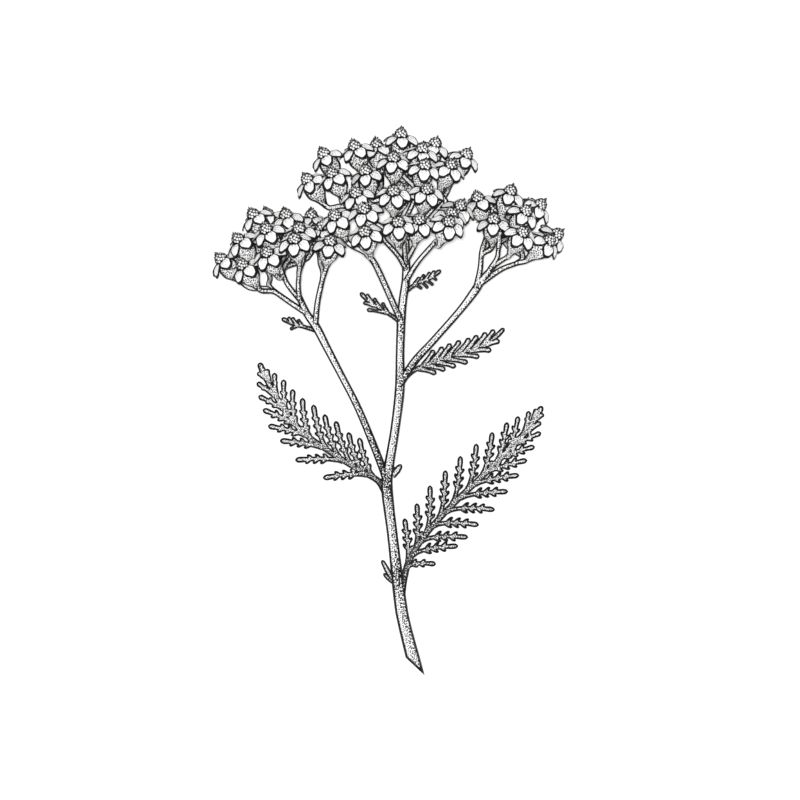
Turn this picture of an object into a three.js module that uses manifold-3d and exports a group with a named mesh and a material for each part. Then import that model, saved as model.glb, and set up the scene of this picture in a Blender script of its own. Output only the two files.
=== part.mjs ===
// A cut flowering sprig of yarrow, lying on a table: one main stem with three flowering sprays, fifty
// flower heads, three feathery leaves and three small bracts. Millimetres, +Z up, and the table is z = 0.
// The sprig lies along Y, with its slanting cut at -Y and its flowers at +Y. X runs across it.
import * as THREE from "three";
import { mergeVertices } from "three/addons/utils/BufferGeometryUtils.js";
import Module from "manifold-3d";

const wasm = await Module();
wasm.setup();

// ---------------------------------------------------------------------------------- driving dimensions
const CLEARANCE = 0.3; // between neighbouring pieces
const WELD = 1e-4; // vertices closer than this are one vertex
const SEED = 1893;

const STEM_SIDES = 9;
const STALK_SIDES = 5;
const PEDICEL_SIDES = 5;
const PEDICEL_RADIUS = 0.66;
const PEDICEL_STEPS = 2;
const PEDICEL_REACH = 0.4; // how far a pedicel keeps its first and last direction, by its span

const DISC_RIM = 1.3; // where the petals spring from the disc
const DISC_RADIUS = 1.7; // at the disc's bulge
const DISC_BULGE_HEIGHT = 1.4;
const DISC_HEIGHT = 2.5;
const DISC_LOBE = 0.86; // every other side of the bulge stands in by this

const PETALS = 6;
const PETAL_STRAY = 0.05; // how far a petal may stray from its place, as a share of the step to the next
const PETAL_SIZES = [0.94, 1.04]; // the shortest and the longest petal, as a share of the outline below
const PETAL_THICKNESS = 0.6;
const PETAL_LIFT = 0.15; // the underside of a petal's root, above the head's own origin
const PETAL_SAG = 0.2; // a petal droops by this times the square of the distance from the rim
const PETAL_OUTLINE = [
  [DISC_RIM, 0.55],
  [2.8, 1.35],
  [4.0, 0.85],
]; // distance from the head's axis, half width

// The cup of green scales under a head: height under the head's origin, radius. The first is the cup's
// flat top.
const CUP = [
  [-0.4, 1.7],
  [-2.0, 2.6],
  [-4.2, 2.0],
  [-6.6, 0.8],
];
const CUP_BASE = -CUP.at(-1)[0];

const HEAD_SPACING = 8.6; // the least distance between two heads
const HEAD_SIDEWAYS = 0.3; // crowded heads move mostly up or down: this share of it goes across the table
const SPREAD_PASSES = 160;
const HEAD_MIDDLE = 0.4; // a head's middle, above its origin
const HEAD_TURN = 0.35; // how far a head may be turned about its own axis from petal down, in radians

const LEAF_MARGIN = 0.3; // half the thickness of a leaf at its margin
const LEAF_RIB = 0.7; // half the thickness of its rib, at the base
const SHOULDER = 0.93; // where a leaf's wing ends and its tip narrows, along its midline
const TOOTH_STEP = 3.8; // a leaflet has a pair of teeth for so much of its length, up to the leaf's number
const LEAFLET_GIRTH = 0.16; // the most that a leaflet's half width may be, as a share of its length
const LEAFLET_ROOT = 0.45; // half the width of a leaflet's root, as a share of its half width
const TOOTH_FIRST = 0.08; // where the first notch lies along a leaflet
const TOOTH_SPAN = 0.68; // the share of a leaflet that its teeth take up
const TOOTH_REACH = 0.22; // how far a tooth's point lies ahead of its notch, as a share of the leaflet
const TOOTH_TAPER = 0.45; // how much smaller the last tooth is than the first
const NOTCH_HALF = 0.48; // a notch's half width, as a share of the tooth's
const FINGER_START = 0.78; // where the narrow end of a toothed leaflet starts
const FINGER_HALF = 0.3; // the half width of a toothed leaflet's end, as a share of its widest
const LANCE_WIDEST = 0.45; // where a leaflet without teeth is widest
const WING_TIP = 0.4; // the wing's half width at the leaf's tip, as a share of that at its base
const BLOCK = 160; // the block that cuts off what is past a plane

// ----------------------------------------------------------------------------- the routes of the stems
// Each point of a route is x, y, z and the stem's radius there.
const STEM_ROUTE = [
  [7.3, -71.0, 1.9, 1.84],
  [6.1, -66.1, 1.95, 1.79],
  [3.5, -55.9, 2.6, 1.62],
  [2.5, -49.4, 3.5, 1.53],
  [0.5, -33.6, 5.7, 1.35],
  [-0.9, -21.6, 7.5, 1.49],
  [-0.4, -16.1, 8.4, 1.3],
  [1.1, -6.9, 10.0, 1.19],
  [2.3, 3.1, 11.7, 1.27],
  [2.4, 12.0, 13.2, 1.08],
  [2.6, 19.5, 14.5, 1.06],
];
const CUT_POINT = [4.1, -64.4, 0];
const CUT_NORMAL = [-0.68, -0.73, 0];

// Discs are the places of the middles of the heads' discs. Fan and side say how a head's axis turns with
// its place across the spray; low and high are how far the axes of its lowest and highest heads rise from
// the table.
const SPRAYS = {
  left: {
    trunk: [
      [-0.7, -21.4, 7.4, 0.98],
      [-2.9, -14.9, 8.3, 1.04],
      [-7.8, -2.1, 9.8, 0.95],
      [-12.1, 6.4, 11.0, 0.93],
      [-15.6, 13.1, 12.0, 1.02],
      [-18.6, 18.9, 13.0, 1.12],
      [-20.9, 22.2, 13.3, 0.98],
      [-22.9, 26.6, 14.2, 0.81],
    ],
    forks: [
      [
        [-20.9, 22.2, 13.3, 0.73],
        [-25.4, 25.2, 13.4, 0.73],
        [-31.0, 29.0, 13.2, 0.68],
      ],
      [
        [-22.3, 25.2, 13.8, 0.73],
        [-25.3, 28.9, 15.4, 0.68],
        [-26.4, 30.8, 15.6, 0.63],
      ],
      [
        [-22.8, 26.2, 14.1, 0.73],
        [-23.0, 29.2, 17.2, 0.68],
        [-22.8, 32.1, 20.0, 0.63],
      ],
      [
        [-18.8, 19.4, 13.0, 0.81],
        [-18.2, 25.1, 15.0, 0.76],
        [-17.0, 30.6, 17.6, 0.71],
      ],
    ],
    discs: [
      [-41.2, 37.6, 11],
      [-37.5, 41.5, 11],
      [-34.8, 45.0, 11],
      [-31.9, 46.4, 4.4],
      [-26.9, 46.9, 12],
      [-20.2, 46.9, 9],
      [-30.2, 43.3, 18],
      [-23.3, 43.5, 19],
      [-24.8, 40.6, 26],
      [-30.5, 38.0, 24],
      [-36.6, 35.2, 20],
      [-15.1, 40.5, 22],
      [-18.1, 44.2, 15],
      [-35.0, 41.6, 5],
    ],
    fan: 0.5,
    side: -0.35,
    low: 0.15,
    high: 1.4,
  },
  right: {
    trunk: [
      [2.5, 4.6, 11.8, 0.98],
      [5.3, 10.1, 12.2, 1.04],
      [9.9, 15.4, 12.6, 0.95],
      [16.1, 22.9, 13.2, 0.95],
      [19.9, 27.6, 13.6, 1.1],
      [22.0, 30.4, 14.2, 0.98],
      [25.6, 34.0, 17.0, 0.73],
    ],
    forks: [
      [
        [20.6, 28.4, 13.8, 0.81],
        [22.5, 34.0, 13.0, 0.71],
        [22.9, 38.6, 12.0, 0.63],
      ],
      [
        [24.8, 33.2, 16.4, 0.71],
        [26.6, 36.0, 18.0, 0.66],
        [27.0, 38.6, 19.0, 0.61],
      ],
      [
        [25.2, 33.6, 16.8, 0.71],
        [27.4, 35.2, 17.6, 0.66],
        [29.0, 36.2, 18.0, 0.61],
      ],
      [
        [21.8, 30.0, 14.1, 0.81],
        [27.6, 33.2, 14.6, 0.71],
        [31.6, 34.8, 14.6, 0.66],
      ],
    ],
    discs: [
      [23.9, 51.6, 11],
      [30.4, 51.8, 11],
      [36.3, 49.2, 11],
      [40.9, 43.7, 11],
      [33.4, 47.8, 18],
      [26.5, 46.1, 19],
      [33.2, 42.6, 25],
      [39.9, 40.7, 18],
      [32.6, 49.6, 3.2],
      [26.5, 48.6, 4],
    ],
    fan: 0.65,
    side: 0.55,
    low: 0.15,
    high: 1.4,
  },
  top: {
    trunk: [
      [2.64, 19.86, 14.56, 1.17],
      [3.1, 25.4, 15.6, 1.12],
      [3.9, 30.9, 16.6, 1.12],
      [3.9, 35.6, 17.5, 1.07],
      [3.8, 40.6, 16.6, 0.98],
      [3.2, 45.6, 14.6, 0.85],
    ],
    forks: [
      [
        [2.6, 20.6, 14.8, 0.9],
        [0.6, 24.9, 17.0, 0.85],
        [-1.5, 29.6, 20.0, 0.85],
        [-3.9, 34.6, 24.0, 0.83],
        [-5.6, 36.6, 25.6, 0.76],
      ],
      [
        [3.9, 33.2, 17.0, 0.76],
        [1.9, 36.6, 21.5, 0.71],
        [-1.6, 40.4, 25.5, 0.66],
      ],
      [
        [3.9, 34.8, 17.4, 0.76],
        [3.6, 37.6, 23.0, 0.71],
        [3.4, 40.0, 29.0, 0.66],
      ],
      [
        [3.9, 35.2, 17.4, 0.76],
        [5.6, 38.2, 22.4, 0.71],
        [6.9, 41.0, 26.0, 0.66],
      ],
      [
        [3.9, 30.4, 16.6, 0.81],
        [6.9, 35.1, 21.0, 0.71],
        [10.9, 39.6, 26.4, 0.66],
      ],
      [
        [3.8, 40.0, 16.7, 0.73],
        [-3.2, 44.6, 14.0, 0.68],
        [-10.6, 48.8, 12.4, 0.63],
      ],
      [
        [3.4, 44.0, 15.4, 0.73],
        [1.4, 47.6, 14.2, 0.68],
        [-1.1, 50.6, 13.4, 0.63],
      ],
      [
        [3.3, 44.8, 15.0, 0.73],
        [4.8, 48.0, 13.6, 0.68],
        [6.2, 51.0, 12.6, 0.63],
      ],
      [
        [3.8, 40.4, 16.6, 0.73],
        [8.4, 45.8, 14.4, 0.68],
        [12.8, 50.8, 12.6, 0.63],
      ],
    ],
    discs: [
      [-20.0, 57.1, 11],
      [-16.4, 61.7, 10],
      [-9.7, 63.8, 10],
      [-2.8, 64.3, 10],
      [3.3, 66.3, 10],
      [11.0, 64.9, 10],
      [19.0, 62.3, 10],
      [-13.7, 57.5, 17],
      [-5.8, 58.8, 17],
      [0.6, 61.0, 17],
      [7.3, 62.6, 16],
      [13.7, 60.2, 17],
      [7.9, 58.4, 22],
      [3.6, 61.8, 3],
      [2.8, 54.2, 24],
      [0.2, 52.4, 31],
      [10.1, 52.8, 27],
      [-8.9, 52.0, 26],
      [14.1, 48.3, 29],
      [17.5, 49.2, 22],
      [-6.7, 48.3, 32],
      [-13.1, 47.0, 29],
      [2.1, 44.9, 38],
      [7.1, 45.9, 33],
      [14.6, 45.2, 36],
      [-6.2, 42.9, 38],
    ],
    fan: 0.6,
    side: -0.06,
    low: 0.2,
    high: 1.45,
  },
};

// ----------------------------------------------------------------------------------- the leaves' sizes
// Rachis is the leaf's midline, x, y and z, from inside the stem to the tip. A side has so many leaflets
// between two places along the midline (0 to 1). Their tips are spaced evenly on a curve, x and y, and half
// is the half width of the widest.
const LEAVES = {
  leaf_right_low: {
    rachis: [
      [2.4, -44.6, 4.3],
      [4.4, -40.1, 4.9],
      [8.9, -33.0, 6.0],
      [15.6, -25.6, 7.4],
      [22.3, -19.2, 7.8],
      [29.0, -13.0, 6.6],
      [34.6, -6.6, 4.2],
      [38.1, -0.9, 2.6],
    ],
    wing: 0.85,
    left: {
      count: 10,
      from: 0.13,
      to: 0.82,
      half: 1.3,
      tips: [
        [3.4, -29.2],
        [13.8, -17.0],
        [25.6, -7.4],
        [34.6, -2.2],
      ],
    },
    right: {
      count: 10,
      from: 0.1,
      to: 0.78,
      half: 1.3,
      tips: [
        [11.9, -40.6],
        [22.1, -30.8],
        [32.3, -18.2],
        [37.9, -7.5],
      ],
    },
    teeth: 3,
    droop: 0.03,
  },
  leaf_left: {
    rachis: [
      [-0.2, -20.4, 7.6],
      [-8.4, -15.6, 8.8],
      [-15.9, -11.7, 9.4],
      [-22.4, -6.9, 8.8],
      [-27.4, -0.6, 6.8],
      [-31.2, 6.1, 4.4],
      [-32.7, 9.8, 3.0],
    ],
    wing: 0.85,
    left: {
      count: 8,
      from: 0.17,
      to: 0.8,
      half: 1.2,
      tips: [
        [-16.9, -19.0],
        [-28.6, -8.7],
        [-32.9, 0.1],
        [-33.9, 7.8],
      ],
    },
    right: {
      count: 9,
      from: 0.1,
      to: 0.77,
      half: 1.2,
      tips: [
        [-7.6, -9.2],
        [-19.0, -0.8],
        [-29.0, 7.2],
      ],
    },
    teeth: 3,
    droop: 0.03,
  },
  leaf_right_high: {
    rachis: [
      [2.8, 5.6, 12.0],
      [6.6, 8.4, 12.2],
      [12.9, 10.8, 12.0],
      [20.2, 13.4, 10.6],
      [25.4, 15.9, 8.8],
      [28.7, 18.5, 7.4],
    ],
    wing: 1.0,
    left: {
      count: 8,
      from: 0.25,
      to: 0.82,
      half: 0.6,
      tips: [
        [11.2, 13.0],
        [18.7, 15.9],
        [26.2, 18.5],
      ],
    },
    right: {
      count: 7,
      from: 0.25,
      to: 0.82,
      half: 0.6,
      tips: [
        [11.5, 7.2],
        [19.5, 10.0],
        [27.8, 15.1],
      ],
    },
    teeth: 0,
    droop: 0.03,
  },
  bract_left: {
    rachis: [
      [-18.0, 17.8, 12.8],
      [-21.6, 18.9, 13.4],
      [-24.6, 19.7, 13.2],
      [-27.3, 21.1, 12.6],
    ],
    wing: 0.85,
    left: { count: 1, from: 0.55, to: 0.55, half: 0.42, tips: [[-25.2, 18.2], [-25.2, 18.2]] },
    right: { count: 3, from: 0.42, to: 0.72, half: 0.4, tips: [[-23.2, 20.9], [-25.6, 21.4]] },
    teeth: 0,
    droop: 0,
  },
  bract_middle: {
    rachis: [
      [2.2, 20.4, 14.9],
      [-0.2, 22.0, 15.2],
      [-2.9, 23.7, 15.8],
      [-5.6, 25.5, 15.8],
      [-7.6, 27.5, 15.2],
    ],
    wing: 0.85,
    left: { count: 2, from: 0.36, to: 0.62, half: 0.45, tips: [[-6.0, 23.2], [-6.9, 25.0]] },
    right: { count: 3, from: 0.34, to: 0.7, half: 0.42, tips: [[-2.1, 25.1], [-6.0, 27.2]] },
    teeth: 0,
    droop: 0,
  },
  bract_top: {
    rachis: [
      [3.6, 27.6, 16.0],
      [6.9, 29.9, 16.6],
      [9.6, 30.9, 16.8],
      [12.7, 33.1, 16.2],
    ],
    wing: 0.9,
    left: { count: 4, from: 0.28, to: 0.74, half: 0.4, tips: [[7.3, 31.4], [9.2, 32.5], [11.1, 33.0]] },
    right: { count: 4, from: 0.3, to: 0.8, half: 0.4, tips: [[8.0, 28.3], [10.0, 28.5], [11.7, 30.4]] },
    teeth: 0,
    droop: 0,
  },
};

// Two tiny leaflets in the axils of the lower leaves: root, tip and the half width between.
const AXIL_LEAFLETS = [
  { root: [0.2, -20.2, 7.8], tip: [2.9, -15.8, 8.6], half: 0.9 },
  { root: [1.4, -43.6, 4.4], tip: [-2.1, -39.8, 4.6], half: 0.9 },
];

// ----------------------------------------------------------------------------------------- small maths
let state = SEED;
const random = () => (state = (state * 1664525 + 1013904223) % 4294967296) / 4294967296;
const between = (low, high) => low + (high - low) * random();
const mix = THREE.MathUtils.lerp;
const vector = ([x, y, z]) => new THREE.Vector3(x, y, z);
const smoothCurve = (points) => new THREE.CatmullRomCurve3(points.map(vector), false, "catmullrom", 0.5);
const UP = new THREE.Vector3(0, 0, 1);
const DOWN_THE_PAGE = new THREE.Vector3(0, -1, 0);

// ---------------------------------------------------------------------------------------------- solids
// A closed geometry as a solid. Triangles that have shrunk to a line at an axis are left out.
function solidOf(geometry) {
  geometry.deleteAttribute("normal");
  geometry.deleteAttribute("uv");
  const merged = mergeVertices(geometry, WELD);
  const corners = merged.index.array;
  const kept = [];
  for (let i = 0; i < corners.length; i += 3) {
    const [a, b, c] = corners.subarray(i, i + 3);
    if (a !== b && b !== c && c !== a) kept.push(a, b, c);
  }
  const vertProperties = new Float32Array(merged.getAttribute("position").array);
  return new wasm.Manifold(new wasm.Mesh({ numProp: 3, vertProperties, triVerts: Uint32Array.from(kept) }));
}

function geometryOf(solid) {
  const { vertProperties, triVerts } = solid.getMesh();
  const geometry = new THREE.BufferGeometry();
  geometry.setAttribute("position", new THREE.BufferAttribute(vertProperties, 3));
  geometry.setIndex(new THREE.BufferAttribute(triVerts, 1));
  geometry.computeVertexNormals();
  return geometry;
}

const fused = (solids) => solids.reduce((all, next) => all.add(next));

// A large block on the far side of a plane, for cutting away what lies past it.
function blockPast(point, normal) {
  const block = new THREE.BoxGeometry(BLOCK, BLOCK, BLOCK);
  block.translate(0, 0, BLOCK / 2);
  block.applyQuaternion(new THREE.Quaternion().setFromUnitVectors(UP, vector(normal).normalize()));
  return block.translate(...point);
}

const belowTable = () => blockPast([0, 0, 0], [0, 0, -1]);

// A round stalk through rings of given middle and radius: an open cylinder's rows are set along the
// route, each turned as little as possible from the one before.
function tube(rings, sides) {
  const geometry = new THREE.CylinderGeometry(1, 1, 1, sides, rings.length - 1);
  const frames = framesAlong(rings.map((ring) => ring.middle));
  const position = geometry.getAttribute("position");
  const corner = new THREE.Vector3();
  for (let i = 0; i < position.count; i++) {
    corner.fromBufferAttribute(position, i);
    const row = Math.round((0.5 - corner.y) * (rings.length - 1));
    const { across, over } = frames[row];
    const { middle, radius } = rings[row];
    const placed = middle.clone();
    placed.addScaledVector(across, corner.x * radius);
    placed.addScaledVector(over, corner.z * radius);
    position.setXYZ(i, placed.x, placed.y, placed.z);
  }
  return solidOf(geometry);
}

function framesAlong(points) {
  let across = new THREE.Vector3(1, 0, 0);
  return points.map((point, i) => {
    const before = points[Math.max(i - 1, 0)];
    const after = points[Math.min(i + 1, points.length - 1)];
    const along = after.clone().sub(before).normalize();
    across = across.clone().addScaledVector(along, -across.dot(along)).normalize();
    return { across, over: along.clone().cross(across) };
  });
}

// Rings on a smooth curve through a route's points, with so many spans between two of them.
function ringsOn(route, spans, grow = 0) {
  const curve = smoothCurve(route);
  const count = (route.length - 1) * spans;
  return Array.from({ length: count + 1 }, (_, i) => {
    const place = i / spans;
    const before = Math.min(Math.floor(place), route.length - 2);
    const radius = mix(route[before][3], route[before + 1][3], place - before);
    return { middle: curve.getPoint(i / count), radius: radius + grow };
  });
}

// ---------------------------------------------------------------------------------------- flower heads
// Where each head's disc lies: crowded discs are pushed apart, mostly up and down, until they clear each
// other.
function spreadHeads(heads) {
  for (let pass = 0; pass < SPREAD_PASSES; pass++) {
    heads.forEach((head, i) => heads.slice(i + 1).forEach((other) => pushApart(head.disc, other.disc)));
  }
}

function pushApart(one, other) {
  const apart = other.clone().sub(one);
  const lacking = HEAD_SPACING - apart.length();
  if (lacking <= 0) return;
  apart.setLength(lacking / 2);
  apart.x *= HEAD_SIDEWAYS;
  apart.y *= HEAD_SIDEWAYS;
  one.sub(apart);
  other.add(apart);
}

// A head's axis fans out across its spray, and rises with the head's height.
function aimHead(head, spray) {
  const xs = spray.discs.map((disc) => disc[0]);
  const zs = spray.discs.map((disc) => disc[2]);
  const middle = (Math.min(...xs) + Math.max(...xs)) / 2;
  const across = (head.disc.x - middle) / (Math.max(...xs) - middle);
  const height = (head.disc.z - Math.min(...zs)) / (Math.max(...zs) - Math.min(...zs));
  const lean = mix(spray.low, spray.high, THREE.MathUtils.clamp(height, 0, 1));
  head.axis = new THREE.Vector3(spray.fan * across + spray.side, 1, lean).normalize();
  head.origin = head.disc.clone().addScaledVector(head.axis, -HEAD_MIDDLE * DISC_HEIGHT);
}

// The turn that stands a head on its axis with one petal hanging down the page.
function turnOf(head) {
  const down = DOWN_THE_PAGE.clone().addScaledVector(head.axis, -DOWN_THE_PAGE.dot(head.axis)).normalize();
  const frame = new THREE.Matrix4().makeBasis(down, head.axis.clone().cross(down), head.axis);
  const turn = new THREE.Quaternion().setFromRotationMatrix(frame);
  return turn.multiply(new THREE.Quaternion().setFromAxisAngle(UP, head.spin));
}

// A head about its own origin and axis: a domed disc whose rim runs out into six drooping petals. Rim
// points are in pairs, one pair for each petal's root.
function bloomSolid() {
  const points = [];
  const faces = [];
  const point = (radius, angle, height) => {
    points.push([radius * Math.cos(angle), radius * Math.sin(angle), height]);
    return points.length - 1;
  };
  const face = (...corners) => {
    for (let i = 2; i < corners.length; i++) faces.push(corners[0], corners[i - 1], corners[i]);
  };
  const wall = (one, next) => face(one.under, next.under, next.top, one.top);
  const edge = (radius, half, angle, sag) => {
    const [reach, turn] = [Math.hypot(radius, half), angle + Math.atan2(half, radius)];
    const under = PETAL_LIFT - sag;
    return { turn, under: point(reach, turn, under), top: point(reach, turn, under + PETAL_THICKNESS) };
  };
  const rim = [];
  for (let petal = 0; petal < PETALS; petal++) {
    const angle = (2 * Math.PI * (petal + between(-PETAL_STRAY, PETAL_STRAY))) / PETALS;
    const size = between(...PETAL_SIZES);
    const sides = [-1, 1].map((side) =>
      PETAL_OUTLINE.map(([radius, half]) => {
        const out = (radius - DISC_RIM) * size;
        return edge(DISC_RIM + out, half * side, angle, PETAL_SAG * out * out);
      }),
    );
    const [right, left] = sides;
    for (let i = 1; i < right.length; i++) {
      face(right[i - 1].top, right[i].top, left[i].top, left[i - 1].top);
      face(right[i - 1].under, left[i - 1].under, left[i].under, right[i].under);
      wall(right[i - 1], right[i]);
      wall(left[i], left[i - 1]);
    }
    wall(right.at(-1), left.at(-1));
    rim.push(right[0], left[0]);
  }
  const apex = point(0, 0, DISC_HEIGHT);
  const lobe = (i) => DISC_RADIUS * (i % 2 ? DISC_LOBE : 1);
  const dome = rim.map(({ turn }, i) => point(lobe(i), turn, DISC_BULGE_HEIGHT));
  rim.forEach((here, i) => {
    const next = (i + 1) % rim.length;
    if (i % 2) wall(here, rim[next]);
    face(here.top, rim[next].top, dome[next], dome[i]);
    face(dome[i], dome[next], apex);
  });
  face(...rim.map(({ under }) => under).reverse());
  const geometry = new THREE.BufferGeometry();
  geometry.setAttribute("position", new THREE.Float32BufferAttribute(points.flat(), 3));
  return solidOf(geometry.setIndex(faces));
}

// What is left of a head about its own origin, when it lies on the table and clears the other pedicels.
function bloomAt(place, pedicels) {
  const home = place.clone().invert();
  const others = [belowTable(), ...pedicels.map((pedicel) => geometryOf(pedicel))];
  return others.reduce((rest, other) => rest.subtract(solidOf(other.applyMatrix4(home))), bloomSolid());
}

// ---------------------------------------------------------------------------------------------- sprays
// A pedicel from a fork to a head, swelling into the cup of scales under it.
function pedicelSolid(fork, head, grow = 0) {
  const start = vector(fork.at(-1));
  const leaving = start.clone().sub(vector(fork.at(-2))).normalize();
  const end = head.origin.clone().addScaledVector(head.axis, -CUP_BASE);
  const reach = PEDICEL_REACH * start.distanceTo(end);
  const curve = new THREE.CubicBezierCurve3(
    start,
    start.clone().addScaledVector(leaving, reach),
    end.clone().addScaledVector(head.axis, -reach),
    end,
  );
  const middles = curve.getPoints(PEDICEL_STEPS).slice(0, -1);
  const rings = middles.map((middle) => ({ middle, radius: PEDICEL_RADIUS + grow }));
  const cup = CUP.map(([height, radius]) => ({
    middle: head.origin.clone().addScaledVector(head.axis, height),
    radius: radius + grow,
  }));
  return tube([...rings, ...cup.reverse()], PEDICEL_SIDES);
}

// The fork whose end is nearest to the base of a head's cup.
function forkFor(head, forks) {
  const base = head.origin.clone().addScaledVector(head.axis, -CUP_BASE);
  const far = (fork) => vector(fork.at(-1)).distanceTo(base);
  return forks.reduce((best, fork) => (far(fork) < far(best) ? fork : best));
}

function stalksOf(spray, grow = 0) {
  return [spray.trunk, ...spray.forks].map((route) => tube(ringsOn(route, 1, grow), STALK_SIDES));
}

function pedicelsOf(spray, grow = 0) {
  return spray.heads.map((head) => pedicelSolid(forkFor(head, spray.forks), head, grow));
}

// A spray's stalks and cups, above the table.
function spraySolid(spray) {
  return fused([...stalksOf(spray), ...pedicelsOf(spray)]).subtract(solidOf(belowTable()));
}

// ---------------------------------------------------------------------------------------------- leaves
// The margin of one leaflet past its root: pairs of distance along it and half width, both as shares,
// with teeth that point forwards.
function leafletProfile(teeth) {
  if (teeth === 0) return [[LANCE_WIDEST, 1]];
  const points = [];
  for (let i = 0; i < teeth; i++) {
    const notch = TOOTH_FIRST + (TOOTH_SPAN * i) / teeth;
    const narrowing = 1 - (TOOTH_TAPER * i) / teeth;
    points.push([notch, NOTCH_HALF * narrowing]);
    points.push([notch + TOOTH_REACH, narrowing]);
  }
  return [...points, [FINGER_START, FINGER_HALF]];
}

// A leaflet's outline from its root on the base side, round its tip, to its root on the other side. Its
// two edges spring from the wing that runs along the rachis.
function leafletMargin(rachis, leaf, side, i) {
  const share = side.count > 1 ? i / (side.count - 1) : 0;
  const place = mix(side.from, side.to, share);
  const root = rachis.getPoint(place);
  const forward = rachis.getTangent(place);
  const outward = new THREE.Vector3(forward.y, -forward.x, 0).setLength(side.sign);
  const along = tipCurve(side).getPoint(share).sub(root).setZ(0);
  const length = along.length();
  along.normalize();
  const across = new THREE.Vector3(-along.y, along.x, 0).multiplyScalar(side.sign);
  const width = Math.min(side.half, LEAFLET_GIRTH * length);
  const at = (out, half) => {
    const point = root.clone().addScaledVector(along, out).addScaledVector(across, half);
    point.z -= leaf.droop * out ** 2;
    return point;
  };
  const rootOut = (half) => (wingAt(leaf, place) - half * across.dot(outward)) / along.dot(outward);
  const rootHalf = LEAFLET_ROOT * width;
  const clear = Math.max(rootOut(-rootHalf), rootOut(rootHalf));
  const profile = leafletProfile(Math.min(leaf.teeth, Math.floor(length / TOOTH_STEP)));
  const near = profile.map(([out, half]) => at(mix(clear, length, out), -half * width));
  const far = profile.map(([out, half]) => at(mix(clear, length, out), half * width)).reverse();
  const [first, last] = [-rootHalf, rootHalf].map((half) => at(rootOut(half), half));
  return [first, ...near, at(length, 0), ...far, last];
}

const tipCurve = ({ tips }) => smoothCurve(tips.map(([x, y]) => [x, y, 0]));

// The half width of a leaf's rachis with its wings, which narrows towards the tip.
const wingAt = (leaf, place) => leaf.wing * mix(1, WING_TIP, place);

// One side of a leaf's outline, from its base to its shoulder: the wing along the rachis, and leaflet after
// leaflet.
function leafSide(rachis, leaf, side) {
  const onWing = (place) => {
    const forward = rachis.getTangent(place);
    const out = new THREE.Vector3(forward.y, -forward.x, 0).setLength(wingAt(leaf, place) * side.sign);
    return rachis.getPoint(place).add(out);
  };
  const leaflets = Array.from({ length: side.count }, (_, i) => leafletMargin(rachis, leaf, side, i));
  return [onWing(0), ...leaflets.flat(), onWing(SHOULDER)];
}

// A closed blade between two margins, thick along its middle line and thin at the margins. Both faces are
// split into the same triangles.
function bladeSolid(middle, left, right) {
  const loop = [...right, middle.at(-1), ...left.toReversed(), middle[0]];
  const halves = [
    [...right, ...middle.toReversed()],
    [...middle, ...left.toReversed()],
  ];
  const points = [...new Set([...loop, ...middle])];
  const half = points.map((point) => {
    const place = middle.indexOf(point);
    return place < 0 ? LEAF_MARGIN : mix(LEAF_RIB, LEAF_MARGIN, place / (middle.length - 1));
  });
  const top = new Map(points.map((point, i) => [point, i]));
  const under = (i) => i + points.length;
  const corners = [];
  for (const outline of halves) {
    for (const triangle of THREE.ShapeUtils.triangulateShape(outline, [])) {
      const [a, b, c] = triangle.map((i) => top.get(outline[i]));
      corners.push(a, b, c, under(a), under(c), under(b));
    }
  }
  loop.forEach((point, i) => {
    const a = top.get(point);
    const b = top.get(loop[(i + 1) % loop.length]);
    corners.push(a, under(a), under(b), a, under(b), b);
  });
  const geometry = new THREE.BufferGeometry();
  const raised = points.flatMap(({ x, y, z }, i) => [x, y, z + half[i]]);
  const lowered = points.flatMap(({ x, y, z }, i) => [x, y, z - half[i]]);
  geometry.setAttribute("position", new THREE.Float32BufferAttribute([...raised, ...lowered], 3));
  geometry.setIndex(corners);
  return solidOf(geometry);
}

function leafSolid(leaf) {
  const rachis = smoothCurve(leaf.rachis);
  const middle = rachis.getPoints((leaf.rachis.length - 1) * 2);
  const left = leafSide(rachis, leaf, { ...leaf.left, sign: -1 });
  const right = leafSide(rachis, leaf, { ...leaf.right, sign: 1 });
  return bladeSolid(middle, left, right);
}

function axilLeafletSolid({ root, tip, half }) {
  const [start, end] = [vector(root), vector(tip)];
  const along = end.clone().sub(start);
  const out = new THREE.Vector3(-along.y, along.x, 0).setLength(half);
  const widest = start.clone().addScaledVector(along, 0.5);
  const left = [start.clone().add(out), widest.clone().add(out)];
  const right = [start.clone().sub(out), widest.clone().sub(out)];
  return bladeSolid([start, widest, end], left, right);
}

// ------------------------------------------------------------------------------------------- materials
const ink = (shade, roughness) => new THREE.MeshStandardMaterial({ color: shade, roughness, metalness: 0 });
const STALK_GREEN = ink(0xb9bab4, 0.6);
const LEAF_GREEN = ink(0x8d8f88, 0.65);
const RAY_WHITE = ink(0xf2f1ec, 0.55);

// -------------------------------------------------------------------------------------------- assembly
const sprig = new THREE.Group();
sprig.name = "yarrow_sprig";

function addPiece(name, solid, material) {
  const mesh = new THREE.Mesh(geometryOf(solid), material);
  mesh.name = name;
  sprig.add(mesh);
  return mesh;
}

for (const spray of Object.values(SPRAYS)) {
  spray.heads = spray.discs.map((disc) => ({ disc: vector(disc), spin: between(-HEAD_TURN, HEAD_TURN) }));
}
spreadHeads(Object.values(SPRAYS).flatMap((spray) => spray.heads));
for (const spray of Object.values(SPRAYS)) {
  spray.heads.forEach((head) => aimHead(head, spray));
}

const stem = tube(ringsOn(STEM_ROUTE, 2), STEM_SIDES).subtract(solidOf(blockPast(CUT_POINT, CUT_NORMAL)));
const roundStem = tube(ringsOn(STEM_ROUTE, 2, CLEARANCE), STEM_SIDES);
addPiece("stem", fused([stem, ...AXIL_LEAFLETS.map(axilLeafletSolid)]), STALK_GREEN);

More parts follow.
